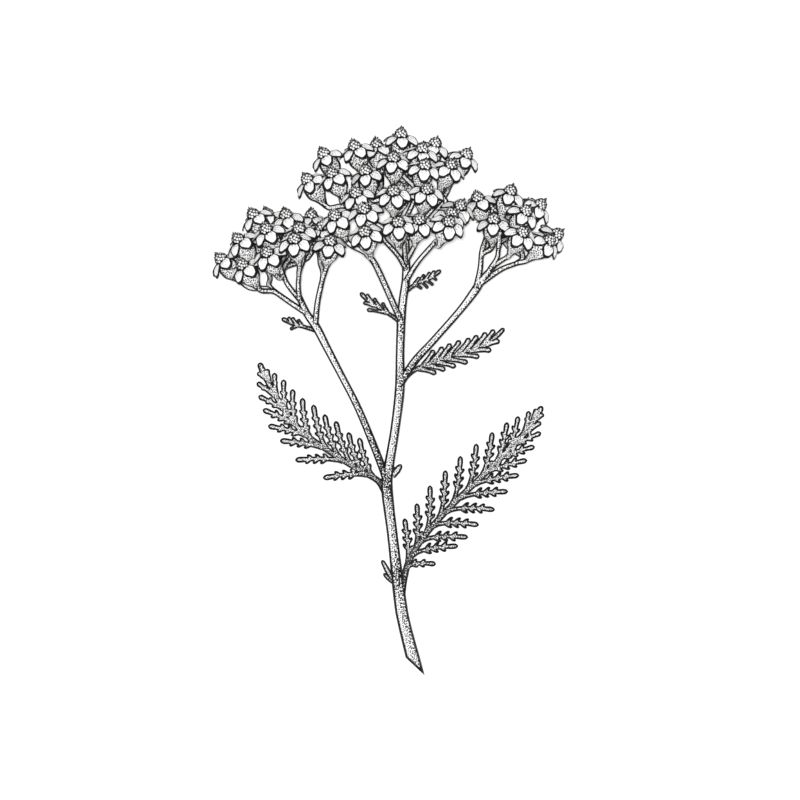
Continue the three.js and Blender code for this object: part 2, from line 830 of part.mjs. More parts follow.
const roundStalks = [];
for (const [name, spray] of Object.entries(SPRAYS)) {
  roundStalks.push(fused(stalksOf(spray, CLEARANCE)));
  const solid = spraySolid(spray);
  addPiece(`spray_${name}`, name === "top" ? solid : solid.subtract(roundStem), STALK_GREEN);
}

for (const [name, leaf] of Object.entries(LEAVES)) {
  const whole = leafSolid(leaf);
  const clear = [roundStem, ...roundStalks].reduce((rest, stalks) => rest.subtract(stalks), whole);
  addPiece(name, clear, LEAF_GREEN);
}

for (const [name, spray] of Object.entries(SPRAYS)) {
  const pedicels = pedicelsOf(spray, CLEARANCE);
  spray.heads.forEach((head, i) => {
    const place = new THREE.Matrix4().compose(head.origin, turnOf(head), new THREE.Vector3(1, 1, 1));
    const number = String(i + 1).padStart(2, "0");
    const bloom = bloomAt(place, pedicels.toSpliced(i, 1));
    addPiece(`bloom_${name}_${number}`, bloom, RAY_WHITE).applyMatrix4(place);
  });
}

export default sprig;
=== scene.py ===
# %% [markdown]
# # A cut sprig of yarrow, drawn in ink
#
# A flowering sprig lies on a pale table: one long stem, three forked sprays of small flower heads, three
# feathery leaves and three little bracts. Every surface is pale plant tissue worked over with a fine
# black pen: a firm line along each edge, and dots of painted shade that crowd together where a form turns
# away or lies deep in the plant.
#
# The imported model gives the frame. Its solids are plain and faceted, so each is replaced here by a finer
# piece that stands in the same place.

# %% The imported model
import math

import bmesh
import bpy
from mathutils import Matrix, Vector
from mathutils.kdtree import KDTree


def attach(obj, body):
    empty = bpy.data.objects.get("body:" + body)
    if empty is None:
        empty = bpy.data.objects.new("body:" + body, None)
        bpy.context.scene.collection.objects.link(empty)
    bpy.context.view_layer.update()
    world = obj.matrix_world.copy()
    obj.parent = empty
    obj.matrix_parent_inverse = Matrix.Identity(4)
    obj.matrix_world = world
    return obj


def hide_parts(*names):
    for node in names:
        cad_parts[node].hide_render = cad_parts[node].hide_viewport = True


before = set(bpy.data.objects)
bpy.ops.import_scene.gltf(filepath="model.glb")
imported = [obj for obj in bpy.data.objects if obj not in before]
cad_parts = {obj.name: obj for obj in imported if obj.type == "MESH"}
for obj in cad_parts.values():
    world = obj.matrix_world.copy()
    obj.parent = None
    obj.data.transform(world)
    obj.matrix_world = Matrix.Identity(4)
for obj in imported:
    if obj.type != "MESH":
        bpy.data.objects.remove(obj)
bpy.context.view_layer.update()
print("solids to dress:", len(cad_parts))

# %% [markdown]
# ## The camera, the table and the light
#
# The sprig lies down, so the camera looks straight down on it. A long lens from far away shows it almost
# without perspective, as a plate in a flora does. The camera's lens follows from how wide the view is and
# how high the camera hangs.

# %% The camera above the table
MM = 0.001
VIEW_MIDDLE = Vector((2.4, 0.6, 15.0)) * MM
VIEW_WIDTH = 200 * MM
CAMERA_HEIGHT = 2.4
SENSOR = 36.0

camera_data = bpy.data.cameras.new("overhead_camera")
camera_data.sensor_width = SENSOR
camera_data.lens = SENSOR * CAMERA_HEIGHT / VIEW_WIDTH
camera_data.clip_end = 20
camera = bpy.data.objects.new("overhead_camera", camera_data)
camera.location = VIEW_MIDDLE + Vector((0, 0, CAMERA_HEIGHT))
bpy.context.scene.collection.objects.link(camera)
bpy.context.scene.camera = camera
print("lens in mm:", round(camera_data.lens))

# %% [markdown]
# White paper and white petals should both come out just under full white, and a pen drawing has no cast
# shadows. So the only lamp is small and far away, almost straight above the sprig: what shadow there is
# falls under the plant that casts it. An even, bright room fills every fold. The Standard view keeps
# white white, where a filmic one would turn it grey.

# %% The room and the lamp
ROOM_STRENGTH = 0.24
LAMP_SIZE = 0.12
LAMP_POWER = 70.0
LAMP_PLACE = Vector((-0.01, 0.012, 2.6))

world = bpy.data.worlds.new("bright_room")
world.use_nodes = True
world.node_tree.nodes["Background"].inputs["Color"].default_value = (1, 1, 1, 1)
world.node_tree.nodes["Background"].inputs["Strength"].default_value = ROOM_STRENGTH
bpy.context.scene.world = world
bpy.context.scene.view_settings.view_transform = "Standard"

lamp_data = bpy.data.lights.new("soft_lamp", "AREA")
lamp_data.size = LAMP_SIZE
lamp_data.energy = LAMP_POWER
lamp = bpy.data.objects.new("soft_lamp", lamp_data)
lamp.location = LAMP_PLACE
lamp.rotation_mode = "QUATERNION"
lamp.rotation_quaternion = (VIEW_MIDDLE - LAMP_PLACE).to_track_quat("-Z", "Y")
bpy.context.scene.collection.objects.link(lamp)
print("lamp distance in m:", round((VIEW_MIDDLE - LAMP_PLACE).length, 2))

# %% [markdown]
# ## Shader sums
#
# A material is a graph of small nodes. Wiring each sum by hand is slow to read, so a `Wire` stands for
# one output of a node, and Python's own operators add the Math nodes: `1 - ink` becomes a Subtract node.
# Everything else comes from one method, `node`, which takes the kind of node, its settings and what goes
# into its sockets.

# %% Wires and nets
class Wire:
    """One output of a shader node, for use in expressions."""

    def __init__(self, net, socket):
        self.net = net
        self.socket = socket

    def out(self, name):
        return Wire(self.net, self.socket.node.outputs[name])

    def maths(self, operation, *values):
        return self.net.node("ShaderNodeMath", {"operation": operation}, *values)

    def __add__(self, other):
        return self.maths("ADD", self, other)

    def __radd__(self, other):
        return self.maths("ADD", other, self)

    def __sub__(self, other):
        return self.maths("SUBTRACT", self, other)

    def __rsub__(self, other):
        return self.maths("SUBTRACT", other, self)

    def __mul__(self, other):
        return self.maths("MULTIPLY", self, other)

    def __rmul__(self, other):
        return self.maths("MULTIPLY", other, self)

    def __pow__(self, other):
        return self.maths("POWER", self, other)

    def __abs__(self):
        return self.maths("ABSOLUTE", self)


class Net:
    """A material's nodes, with its surface shader at the end."""

    def __init__(self, name):
        self.material = bpy.data.materials.new(name)
        self.material.use_nodes = True
        self.tree = self.material.node_tree
        self.surface = self.tree.nodes["Principled BSDF"]

    def node(self, kind, settings, *values, **named):
        made = self.tree.nodes.new(kind)
        for name, value in settings.items():
            setattr(made, name, value)
        shown = [socket for socket in made.inputs if socket.enabled]
        for socket, value in zip(shown, values):
            self.feed(socket, value)
        for name, value in named.items():
            self.feed(made.inputs[name], value)
        return Wire(self, next(socket for socket in made.outputs if socket.enabled))

    def feed(self, socket, value):
        if isinstance(value, Wire):
            self.tree.links.new(value.socket, socket)
        else:
            socket.default_value = value


def fade(value, start, end):
    """0 up to start and 1 from end on, with a smooth climb between; start may be above end."""
    settings = {"interpolation_type": "SMOOTHSTEP"}
    if start < end:
        return value.net.node("ShaderNodeMapRange", settings, value, start, end, 0.0, 1.0)
    return value.net.node("ShaderNodeMapRange", settings, value, end, start, 1.0, 0.0)


def attribute(net, name):
    return net.node("ShaderNodeAttribute", {"attribute_name": name}).out("Fac")


print("maths nodes are ready")

# %% [markdown]
# ## The pen
#
# Two marks do all the work. A **line** follows each edge: every piece carries an attribute, `rim`, that
# says how many millimetres a point lies from its edge, and the line is drawn where that is small.
# **Dots** give the shade: a Voronoi texture has one centre in each of its cells, so the places that lie
# close to a centre are spots. A second attribute, `tone`, says how dark a place is. What darkens is a
# spot's area, so its reach grows with the square root of the tone.
#
# Where a surface lies level, the cells are flat ones, seen from above, and every spot is round. On a
# steep face those would smear into stripes, so cells that fill space take over there. Neither needs any
# unwrapping.

# %% Lines, dots and tissue
INK = (0.008, 0.008, 0.01, 1)
DOT_SPACING = 0.32 * MM
FULL_REACH = 0.62  # a dot's reach in its cell, where the dots close up to solid ink
DOT_EDGE = 0.12
DOT_SCATTER = 0.75  # 0 would set the dots in rows
STEEP, LEVEL = 0.3, 0.45  # how far a normal rises where the flat cells begin and where they are alone
LINE_EDGE = 0.10
MOTTLE_SIZE = 3.0 * MM
GRAIN_SIZE = 0.25 * MM
MOTTLE_START, MOTTLE_END = 0.35, 0.65  # the noise turns dark tissue light between these
ROUGHNESS, INK_GLOSS = 0.7, 0.25  # of bare tissue, and how much smoother ink is
RELIEF, INK_DIP = 0.3, 0.5  # the grain's strength, and how far ink lies below it
SHINE = 0.12


def dots(net, tone, spacing=DOT_SPACING):
    """1 on the ink of the dots. A dot's area in its cell grows with the tone."""
    place = net.node("ShaderNodeTexCoord", {}).out("Object")
    normal = net.node("ShaderNodeNewGeometry", {}).out("Normal")
    upright = abs(net.node("ShaderNodeSeparateXYZ", {}, normal).out("Z"))
    pattern = {"Vector": place, "Scale": 1 / spacing, "Randomness": DOT_SCATTER}
    flat, solid = (
        net.node("ShaderNodeTexVoronoi", {"voronoi_dimensions": size}, **pattern) for size in ("2D", "3D")
    )
    share = fade(upright, STEEP, LEVEL)
    distance = flat.out("Distance") * share + solid.out("Distance") * (1 - share)
    reach = FULL_REACH * tone.maths("MAXIMUM", tone, 0.0) ** 0.5
    return fade(reach - distance, -DOT_EDGE / 2, DOT_EDGE / 2)


def line(net, width):
    """1 within a pen's width of an edge."""
    return fade(attribute(net, "rim"), width + LINE_EDGE / 2, width - LINE_EDGE / 2)


def tissue(net, ink, light, dark, bump):
    """Tissue mottled between two colours, under ink that dries smoother. `bump` is its grain's depth."""
    place = net.node("ShaderNodeTexCoord", {}).out("Object")
    mottle = net.node("ShaderNodeTexNoise", {}, Vector=place, Scale=1 / MOTTLE_SIZE, Detail=3.0)
    rgba = {"data_type": "RGBA"}
    bare = net.node("ShaderNodeMix", rgba, fade(mottle, MOTTLE_START, MOTTLE_END), dark, light)
    colour = net.node("ShaderNodeMix", rgba, ink, bare, INK)
    net.feed(net.surface.inputs["Base Color"], colour)
    net.feed(net.surface.inputs["Roughness"], ROUGHNESS - INK_GLOSS * ink)
    grain = net.node("ShaderNodeTexNoise", {}, Vector=place, Scale=1 / GRAIN_SIZE, Detail=2.0)
    relief = net.node("ShaderNodeBump", {}, Strength=RELIEF, Distance=bump, Height=grain - INK_DIP * ink)
    net.feed(net.surface.inputs["Normal"], relief.out("Normal"))
    net.surface.inputs["Specular IOR Level"].default_value = SHINE
    print(net.material.name, "nodes:", len(net.tree.nodes))
    return net.material


def rimmed(name, line_width, light, dark, bump):
    """The finish of a flat piece: a line along its rim, and dots for its tone."""
    net = Net(name)
    outline = line(net, line_width)
    ink = outline.maths("MAXIMUM", outline, dots(net, attribute(net, "tone")))
    return tissue(net, ink, light, dark, bump)


print("dot spacing in mm:", DOT_SPACING / MM)

# %% [markdown]
# ## Pieces in millimetres
#
# A sprig is small, so its sizes are easiest to read in millimetres, while Blender counts in metres. Every
# piece is modelled in millimetres and shrunk once, on its way into an object. Each piece has attributes
# for the pen: `rim`, the distance from its edge, `girth`, the radius of a round stalk there, `level`, how
# far the normal of the stalk's crest rises there, which is 1 where the stalk lies level, and `tone`, how
# dark the shade is.

# %% A new piece
PEN_ATTRIBUTES = ("rim", "girth", "level", "tone")
SHARP_ANGLE = math.radians(50)
SETTLING = 1.5  # the height over the table below which a soft part bends


def new_bmesh():
    bm = bmesh.new()
    for name in PEN_ATTRIBUTES:
        bm.verts.layers.float.new(name)
    return bm


def mark(bm, verts, **values):
    """Sets pen attributes on vertices. A value is a number or a function of the vertex."""
    for name, value in values.items():
        layer = bm.verts.layers.float[name]
        for vert in verts:
            vert[layer] = value(vert) if callable(value) else value


def only(kind, items):
    return [item for item in items if isinstance(item, kind)]


def settle(bm):
    """Bends what would reach through the table so that it lies along it, as a soft petal does."""
    for vert in bm.verts:
        if vert.co.z < SETTLING:
            vert.co.z = SETTLING * math.exp(vert.co.z / SETTLING - 1)


def new_piece(name, bm, materials, node):
    """Turns a model in millimetres into an object in metres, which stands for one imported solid."""
    bmesh.ops.recalc_face_normals(bm, faces=bm.faces)
    bmesh.ops.scale(bm, vec=Vector((MM, MM, MM)), verts=bm.verts)
    for face in bm.faces:
        face.smooth = True
    mesh = bpy.data.meshes.new(name)
    bm.to_mesh(mesh)
    bm.free()
    mesh.set_sharp_from_angle(angle=SHARP_ANGLE)
    for material in materials:
        mesh.materials.append(material)
    piece = bpy.data.objects.new(name, mesh)
    bpy.context.scene.collection.objects.link(piece)
    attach(piece, "root")
    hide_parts(node)


print("pen attributes:", PEN_ATTRIBUTES)

# %% [markdown]
# ## The table
#
# The sprig lies on plain, pale paper. One wide square is enough for it, with a faint fibre so that it
# isn't a dead flat colour.

# %% The paper on the table
TABLE_HALF = 1.5
FIBRE_SIZE = 1.2 * MM
PAPER_LIGHT = (0.95, 0.95, 0.94, 1)
PAPER_DARK = (0.92, 0.92, 0.91, 1)
PAPER_ROUGHNESS = 0.9

table_bm = bmesh.new()
bmesh.ops.create_grid(table_bm, x_segments=1, y_segments=1, size=TABLE_HALF)
table_mesh = bpy.data.meshes.new("table_paper")
table_bm.to_mesh(table_mesh)
table_bm.free()
table = bpy.data.objects.new("table_paper", table_mesh)
bpy.context.scene.collection.objects.link(table)

paper = Net("drawing_paper")
paper_place = paper.node("ShaderNodeTexCoord", {}).out("Object")
fibre = paper.node("ShaderNodeTexNoise", {}, Vector=paper_place, Scale=1 / FIBRE_SIZE, Detail=4.0)
sheet = paper.node("ShaderNodeMix", {"data_type": "RGBA"}, fibre, PAPER_DARK, PAPER_LIGHT)
paper.feed(paper.surface.inputs["Base Color"], sheet)
paper.surface.inputs["Roughness"].default_value = PAPER_ROUGHNESS
table_mesh.materials.append(paper.material)
print("table half width in m:", TABLE_HALF)

# %% [markdown]
# ## Curves and stalks
#
# Every stalk follows a few given points. A Catmull-Rom curve passes through all its points, so
# the stalk bends where the points say and nowhere else. The radius is a fourth value of each point and is
# smoothed with them.

# %% Smooth routes
def on_curve(route, place):
    """The smooth curve through a route's points, from place 0 at the first to 1 at the last."""
    points = [Vector(point) for point in route]
    reached = place * (len(points) - 1)
    i = min(int(reached), len(points) - 2)
    t = reached - i
    b, c = points[i], points[i + 1]
    a = points[i - 1] if i > 0 else 2 * b - c
    d = points[i + 2] if i + 2 < len(points) else 2 * c - b
    square, cube = 2 * a - 5 * b + 4 * c - d, 3 * b - a - 3 * c + d
    return 0.5 * (2 * b + (c - a) * t + square * t**2 + cube * t**3)


def bezier(start, pull, push, end, t):
    return start * (1 - t) ** 3 + pull * 3 * t * (1 - t) ** 2 + push * 3 * t**2 * (1 - t) + end * t**3


def steady(value, points):
    """Straight lines between points of (place, value)."""
    for (a, low), (b, high) in zip(points, points[1:]):
        if value <= b:
            return low + (high - low) * (value - a) / (b - a)
    return points[-1][1]


UP = Vector((0, 0, 1))
print("middle of a straight route:", on_curve([(0, 0, 0), (2, 0, 0)], 0.5))

# %% [markdown]
# A stalk is a ring of edges that is extruded from place to place. Each ring is placed by a matrix whose
# first column points sideways, level with the table, so a ring never twists. The move from one ring to
# the next is the new matrix times the inverse of the old one.

# %% A round stalk
def ring_places(middles, radii):
    places = []
    for i, middle in enumerate(middles):
        along = (middles[min(i + 1, len(middles) - 1)] - middles[max(i - 1, 0)]).normalized()
        side = along.cross(UP).normalized()
        place = Matrix((side, side.cross(along), along)).transposed().to_4x4()
        place.translation = middle
        places.append(place @ Matrix.Diagonal((radii[i], radii[i], 1, 1)))
    return places


LOWEST_RISE = 0.05
NO_RIM = 9  # too far from any edge for a line


def crest_rise(middles, radii, i):
    """How far the crest's normal rises at a ring, which is less where the stalk slants or widens."""
    before, after = max(i - 1, 0), min(i + 1, len(middles) - 1)
    step = middles[after] - middles[before]
    flare = (radii[after] - radii[before]) / step.length
    slant = step.normalized().z
    return max(LOWEST_RISE, (math.sqrt(1 - slant**2) - flare * slant) / math.sqrt(1 + flare**2))


def stalk(bm, rings, sides, ribs=0, rib_depth=0.0):
    """A closed stalk through rings of middle, radius and tone."""
    middles, radii, tones = zip(*rings)
    places = ring_places(middles, radii)
    verts = bmesh.ops.create_circle(bm, cap_ends=True, segments=sides, radius=1)["verts"]
    for vert in verts:
        vert.co *= 1 + rib_depth * math.cos(ribs * math.atan2(vert.co.y, vert.co.x))
    edges = list({edge for vert in verts for edge in vert.link_edges})
    bmesh.ops.transform(bm, matrix=places[0], verts=verts)
    mark(bm, verts, rim=NO_RIM, girth=radii[0], level=crest_rise(middles, radii, 0), tone=tones[0])
    for i in range(1, len(middles)):
        grown = bmesh.ops.extrude_edge_only(bm, edges=edges)["geom"]
        verts, edges = only(bmesh.types.BMVert, grown), only(bmesh.types.BMEdge, grown)
        bmesh.ops.transform(bm, matrix=places[i] @ places[i - 1].inverted(), verts=verts)
        mark(bm, verts, rim=NO_RIM, girth=radii[i], level=crest_rise(middles, radii, i), tone=tones[i])
    bmesh.ops.edgeloop_fill(bm, edges=edges)


trial = new_bmesh()
stalk(trial, [(Vector((0, y, 0)), 1, 0) for y in range(4)], 12)
print("faces of a stalk of four rings:", len(trial.faces))
trial.free()

# %% [markdown]
# ## Green parts
#
# Stem, stalks and leaves are pale green on the living plant. In ink they are bare paper-white with
# stipple. On round parts the edge is where the surface stands upright, so the line there comes from the
# normal's rise and the `girth`: on a stalk of radius r, a point whose normal rises by n lies
# r(1 - sqrt(1 - n * n)) inside the outline. Where a stalk slants or widens, even its crest's normal rises
# by less than 1, so the rise is first divided by `level`. Where the crest hardly rises at all, no such
# line is drawn, and the very flank is left pale, so that a stalk seen from the side isn't black. The
# stem's cut end gets its line from `rim`.

# %% Stalk tissue
TISSUE_LIGHT = (0.93, 0.93, 0.92, 1)
TISSUE_DARK = (0.84, 0.84, 0.83, 1)
STALK_LINE = 0.6
THINNEST_LINE, GIRTH_LINE = 0.29, 0.16  # a thinner stalk has a thinner line
STALK_DOTS = 0.45 * MM  # the pen stipples a stalk with larger dots
SHADY_LINE = 0.06  # the line is so much wider on the right, as if the light came from the left
# Painted shade: the dots crowd from the crest of a stalk to its flank, where it turns away from the lamp
# above.
FLANK_SHADE = 0.07  # extra tone from the crest of a stalk to its flank
CREST, FLANK = 0.95, 0.35  # how far the normal rises there
# Painted shade on the right side of thin stalks, as if the light came from the left.
SHADY_SIDE = 0.28  # extra tone on the right
LEFT, RIGHT = -0.35, 0.05  # how far the normal points to the right where the shade begins and is full
THIN_STALK, CUP_GIRTH = 1.7, 2.0  # a cup is too stout to have a shady side
BARE_FLANK, INKED_FLANK = 0.06, 0.2  # the line ends between these rises, so the very flank stays pale
STEEP_CREST, SLANTING_CREST = 0.08, 0.2  # and between these values of `level`
TISSUE_BUMP = 0.04 * MM

stalk_net = Net("inked_stalk")
normal = stalk_net.node("ShaderNodeNewGeometry", {}).out("Normal")
facing = stalk_net.node("ShaderNodeSeparateXYZ", {}, normal)
upright = abs(facing.out("Z"))
rise = upright.maths("MINIMUM", upright.maths("DIVIDE", upright, attribute(stalk_net, "level")), 1.0)
inside = attribute(stalk_net, "girth") * (1 - (1 - rise * rise) ** 0.5)
flank = fade(rise, CREST, FLANK)
shady = fade(facing.out("X"), LEFT, RIGHT) * fade(attribute(stalk_net, "girth"), CUP_GIRTH, THIN_STALK)
# A stalk's painted shade from its flank and from its right side adds to the tone that it carries.
stalk_tone = attribute(stalk_net, "tone") + FLANK_SHADE * flank + SHADY_SIDE * shady
width = attribute(stalk_net, "girth") * GIRTH_LINE + THINNEST_LINE
width = width.maths("MINIMUM", width, STALK_LINE)
outline = fade(inside - width - SHADY_LINE * shady, LINE_EDGE / 2, -LINE_EDGE / 2)
outline = outline * fade(attribute(stalk_net, "level"), STEEP_CREST, SLANTING_CREST)
outline = outline.maths("MAXIMUM", outline, line(stalk_net, STALK_LINE))
outline = outline * fade(rise, BARE_FLANK, INKED_FLANK)
stalk_ink = outline.maths("MAXIMUM", outline, dots(stalk_net, stalk_tone, STALK_DOTS))
stalk_finish = tissue(stalk_net, stalk_ink, TISSUE_LIGHT, TISSUE_DARK, TISSUE_BUMP)

# %% Leaf tissue
LEAF_LINE = 0.5

leaf_finish = rimmed("inked_leaf", LEAF_LINE, TISSUE_LIGHT, TISSUE_DARK, TISSUE_BUMP)

# %% [markdown]
# ## The main stem
#
# A stem of yarrow is ridged along its length. It was cut slantwise, and the cut shows the pale pith. The
# stalk is made a little too long, then sliced by a plane, and the open end is filled.

# %% The stem
STEM_ROUTE = [
    (7.3, -71, 1.9, 1.84), (6.1, -66.1, 1.95, 1.79), (3.5, -55.9, 2.6, 1.64), (2.35, -49.4, 3.5, 1.62),
    (0.5, -33.6, 5.7, 1.35), (-0.9, -21.6, 7.5, 1.49), (-0.4, -16.1, 8.4, 1.3), (1.1, -6.9, 10, 1.19),
    (2.3, 3.1, 11.7, 1.27), (2.4, 12, 13.2, 1.1), (2.65, 20.2, 14.63, 1.14),
]
CUT_POINT = Vector((4.1, -64.4, 0))
CUT_NORMAL = Vector((-0.68, -0.73, 0))
STEM_SPANS = 10  # rings between two points of the route
STEM_SIDES = 27
STEM_RIBS = 9
RIB_DEPTH = 0.02
NODES = (-43.5, -20.5, 5.5, 20.0)  # where leaves and branches leave the stem, along Y
NODE_REACH = 9.0
# Painted shade where leaves and branches leave the stem: the stipple crowds round each node.
NODE_SHADE = 0.42
STEM_TONE = [(-70, 0.16), (-20, 0.16), (5, 0.03)]


def stem_tone(y):
    """Painted shade: the stipple crowds under each node, where a leaf or branch leaves the stem, and thins
    out above it.
    """
    nearest = min(abs(y - node) for node in NODES)
    return steady(y, STEM_TONE) + NODE_SHADE * max(0.0, 1 - nearest / NODE_REACH) ** 2


def stem_rings():
    count = (len(STEM_ROUTE) - 1) * STEM_SPANS
    for i in range(count + 1):
        x, y, z, radius = on_curve(STEM_ROUTE, i / count)
        yield Vector((x, y, z)), radius, stem_tone(y)


stem_bm = new_bmesh()
stalk(stem_bm, stem_rings(), STEM_SIDES, ribs=STEM_RIBS, rib_depth=RIB_DEPTH)
everything = stem_bm.verts[:] + stem_bm.edges[:] + stem_bm.faces[:]
sliced = bmesh.ops.bisect_plane(
    stem_bm, geom=everything, plane_co=CUT_POINT, plane_no=CUT_NORMAL, clear_outer=True
)
cut_edges = only(bmesh.types.BMEdge, sliced["geom_cut"])
cut_face = bmesh.ops.edgeloop_fill(stem_bm, edges=cut_edges)["faces"][0]
mark(stem_bm, stem_bm.verts, rim=lambda vert: (CUT_POINT - vert.co).dot(CUT_NORMAL.normalized()))
print("stem faces:", len(stem_bm.faces), "cut area in mm2:", round(cut_face.calc_area(), 1))

# %% [markdown]
# ## Blades
#
# A leaflet, a petal and the winged midline of a leaf are all blades: a flat sheet that is bent into
# shape, then given a thickness. A grid is bent by one function of the place along it (0 to 1) and across
# it (-1 to 1), which returns a point and the tone there. Its faces are then extruded to make the
# underside and the rim.

# %% A blade
def blade(bm, columns, rows, thickness, shape):
    """A closed blade. `shape` gives its upper face, and `thickness` is the way up from its underside."""
    verts = bmesh.ops.create_grid(bm, x_segments=columns, y_segments=rows, size=1)["verts"]
    tone = bm.verts.layers.float["tone"]
    for vert in verts:
        vert.co, vert[tone] = shape((vert.co.x + 1) / 2, vert.co.y)
    faces = list({face for vert in verts for face in vert.link_faces})
    grown = bmesh.ops.extrude_face_region(bm, geom=faces, use_keep_orig=True)["geom"]
    under = only(bmesh.types.BMVert, grown)
    bmesh.ops.translate(bm, vec=-thickness, verts=under)
    return verts + under


trial = new_bmesh()
blade(trial, 2, 2, UP, lambda u, v: (Vector((u, v, 0)), 0))
print("faces of a blade of 2 by 2:", len(trial.faces))
trial.free()

# %% [markdown]
# ## Leaves
#
# A leaf of yarrow is twice cut: leaflets stand along a winged midline, and each leaflet is cut again into
# small lobes that point forwards, with a longer finger at its end. A leaflet leaves the midline almost
# along it and then bends out. One outline for all that would be a long list of points, so midline,
# leaflets and lobes are each a strap: a narrow blade along a curved middle, with a blunt tip. The straps
# overlap. The pen goes once round all of them together, and where two of them part it goes on inwards
# from the notch as a thinner stroke.

# %% The leaves' midlines and leaflets
# Each leaflet is given by where its tip lies, along X and Y, and where it starts, as a share of the
# midline. `reach` says how far lobes reach out on the left and on the right, with 0 for no lobes. `base`
# is the midline's half width at its foot and `rib` the scale of the rest. `girth` is the scale of the
# leaflets' widths, `shade` of their tone, which is the leaf's darker tissue with painted shade towards its
# root, and `droop` says how fast they bend down.
BRACT = {"reach": (0, 0), "base": 0.7, "rib": 0.65, "shade": 0.5, "droop": 0}
LEAVES = {
    "leaf_right_low": {
        "midline": [
            (2.9, -49.3, 3.9), (3.5, -44, 5.4), (4.9, -39.3, 5.6), (8.9, -33, 6), (15.6, -25.6, 7.4),
            (22.3, -19.2, 7.8), (29, -12.6, 6.6), (34.6, -6.6, 4.2), (38.2, -0.9, 2.6),
        ],
        "left": [
            (3.5, -29.1, 0.23), (6.6, -25.3, 0.31), (9.9, -20.8, 0.38), (13.8, -17, 0.44),
            (17.6, -13.4, 0.5), (21.6, -10.3, 0.57), (25.6, -7.4, 0.64), (29.3, -4.9, 0.71),
            (32.1, -3.4, 0.77), (34.8, -2.1, 0.85), (36.6, -1.5, 0.92),
        ],
        "right": [
            (11.5, -40.6, 0.2), (17.1, -36.1, 0.27), (19.6, -33.9, 0.34), (22.3, -30.8, 0.41),
            (26.3, -27, 0.47), (29.6, -22.4, 0.53), (32.4, -18.3, 0.6), (34.4, -14.5, 0.66),
            (36.3, -11.1, 0.73), (37.9, -7.6, 0.79), (37.9, -4.9, 0.86), (38.6, -2.9, 0.93),
        ],
        "reach": (1.2, 1.3), "base": 0.75, "rib": 0.95, "girth": 1.0, "shade": 0.9, "droop": 0.03,
    },
    "leaf_left": {
        "midline": [
            (-1, -22.4, 7.7), (-3.3, -19.5, 8.3), (-8.4, -16.6, 9), (-15.9, -11.9, 9.4),
            (-22.4, -7, 8.8), (-27.4, -0.6, 6.8), (-31.2, 6.1, 4.4), (-33, 10, 3),
        ],
        "left": [
            (-17, -19, 0.22), (-24, -14.5, 0.35), (-27.8, -9.6, 0.45), (-30.8, -5.9, 0.54),
            (-32.1, -1.8, 0.61), (-33.2, 1.6, 0.69), (-33.6, 5, 0.76), (-33.5, 7.5, 0.86),
        ],
        "right": [
            (-7.9, -8.8, 0.18), (-10.6, -7.4, 0.25), (-13.8, -4.6, 0.31), (-16.6, -2.9, 0.37),
            (-19.4, -0.5, 0.43), (-22.1, 1.2, 0.52), (-24.5, 3.4, 0.61), (-26.8, 5.8, 0.68),
            (-29.1, 7.5, 0.76), (-31, 8.5, 0.83),
        ],
        "reach": (1.2, 1.0), "base": 1.25, "rib": 0.9, "girth": 1.05, "shade": 0.75, "droop": 0.03,
    },
    "leaf_right_high": {
        "midline": [
            (2.8, 5.6, 12.0), (6.6, 8.4, 12.2), (12.9, 10.9, 12.0), (20.2, 13.2, 10.6),
            (25.4, 15.7, 8.8), (28.6, 18.6, 7.4),
        ],
        "left": [
            (11, 13.2, 0.25), (13.2, 14, 0.32), (15.2, 14.8, 0.37), (17.5, 15.6, 0.43),
            (19.9, 16.2, 0.5), (21.9, 16.9, 0.55), (24.1, 17.6, 0.62), (26.1, 18.3, 0.7),
        ],
        "right": [
            (11.6, 7.2, 0.2), (13.9, 8.1, 0.27), (16.5, 8.9, 0.34), (19.5, 9.9, 0.41),
            (22.4, 11.4, 0.5), (25.4, 13.1, 0.59), (27.5, 15.5, 0.68),
        ],
        "reach": (0, 0), "base": 0.9, "rib": 0.7, "girth": 1.05, "shade": 0.65, "droop": 0.03,
    },
    "bract_left": {
        "midline": [(-18, 17.8, 12.8), (-21.6, 18.9, 13.4), (-24.6, 19.7, 13.2), (-27.3, 21.1, 12.6)],
        "left": [(-25.2, 18.2, 0.5)],
        "right": [(-23.2, 20.9, 0.37), (-24.6, 21.4, 0.52), (-25.6, 21.5, 0.67)],
        "girth": 0.8, **BRACT,
    },
    "bract_middle": {
        "midline": [
            (2.2, 20.4, 14.9), (-0.2, 22, 15.2), (-2.9, 23.7, 15.8), (-5.6, 25.5, 15.8),
            (-7.6, 27.5, 15.2),
        ],
        "left": [(-6, 23.2, 0.31), (-6.9, 25, 0.57)],
        "right": [(-2.1, 25.1, 0.29), (-4.2, 26.2, 0.47), (-6, 27.2, 0.65)],
        "girth": 0.8, **BRACT,
    },
    "bract_top": {
        "midline": [(3.6, 27.6, 16.0), (6.9, 29.9, 16.6), (9.6, 30.9, 16.8), (12.7, 33.1, 16.2)],
        "left": [(7.3, 31.4, 0.23), (8.5, 32.1, 0.38), (9.9, 32.7, 0.54), (11.1, 33, 0.69)],
        "right": [(8, 28.3, 0.25), (9.4, 28.4, 0.42), (10.8, 29.2, 0.58), (11.7, 30.4, 0.75)],
        "girth": 0.75, **BRACT,
    },
}
print("leaflets:", sum(len(leaf["left"] + leaf["right"]) for leaf in LEAVES.values()))

# %% A strap and the pen line round many
TIP_LENGTH = 1.7  # a strap is rounded off over so many half widths
LINE_STEP, DISC_STEP = 0.1, 0.2  # the pen line and a strap's plan are sampled this finely
TOUCH = 0.06  # a margin may lie this deep inside another strap and still be drawn as outline
NOTCH = 0.3  # closer than this to another strap, a margin lies in a notch
NOTCH_INSET = 0.1  # two lines meet in a notch, so each is thinner than the outline by this
STROKE_INSET = 0.25  # a stroke inside the leaf has two sides, each thinner than the outline by this


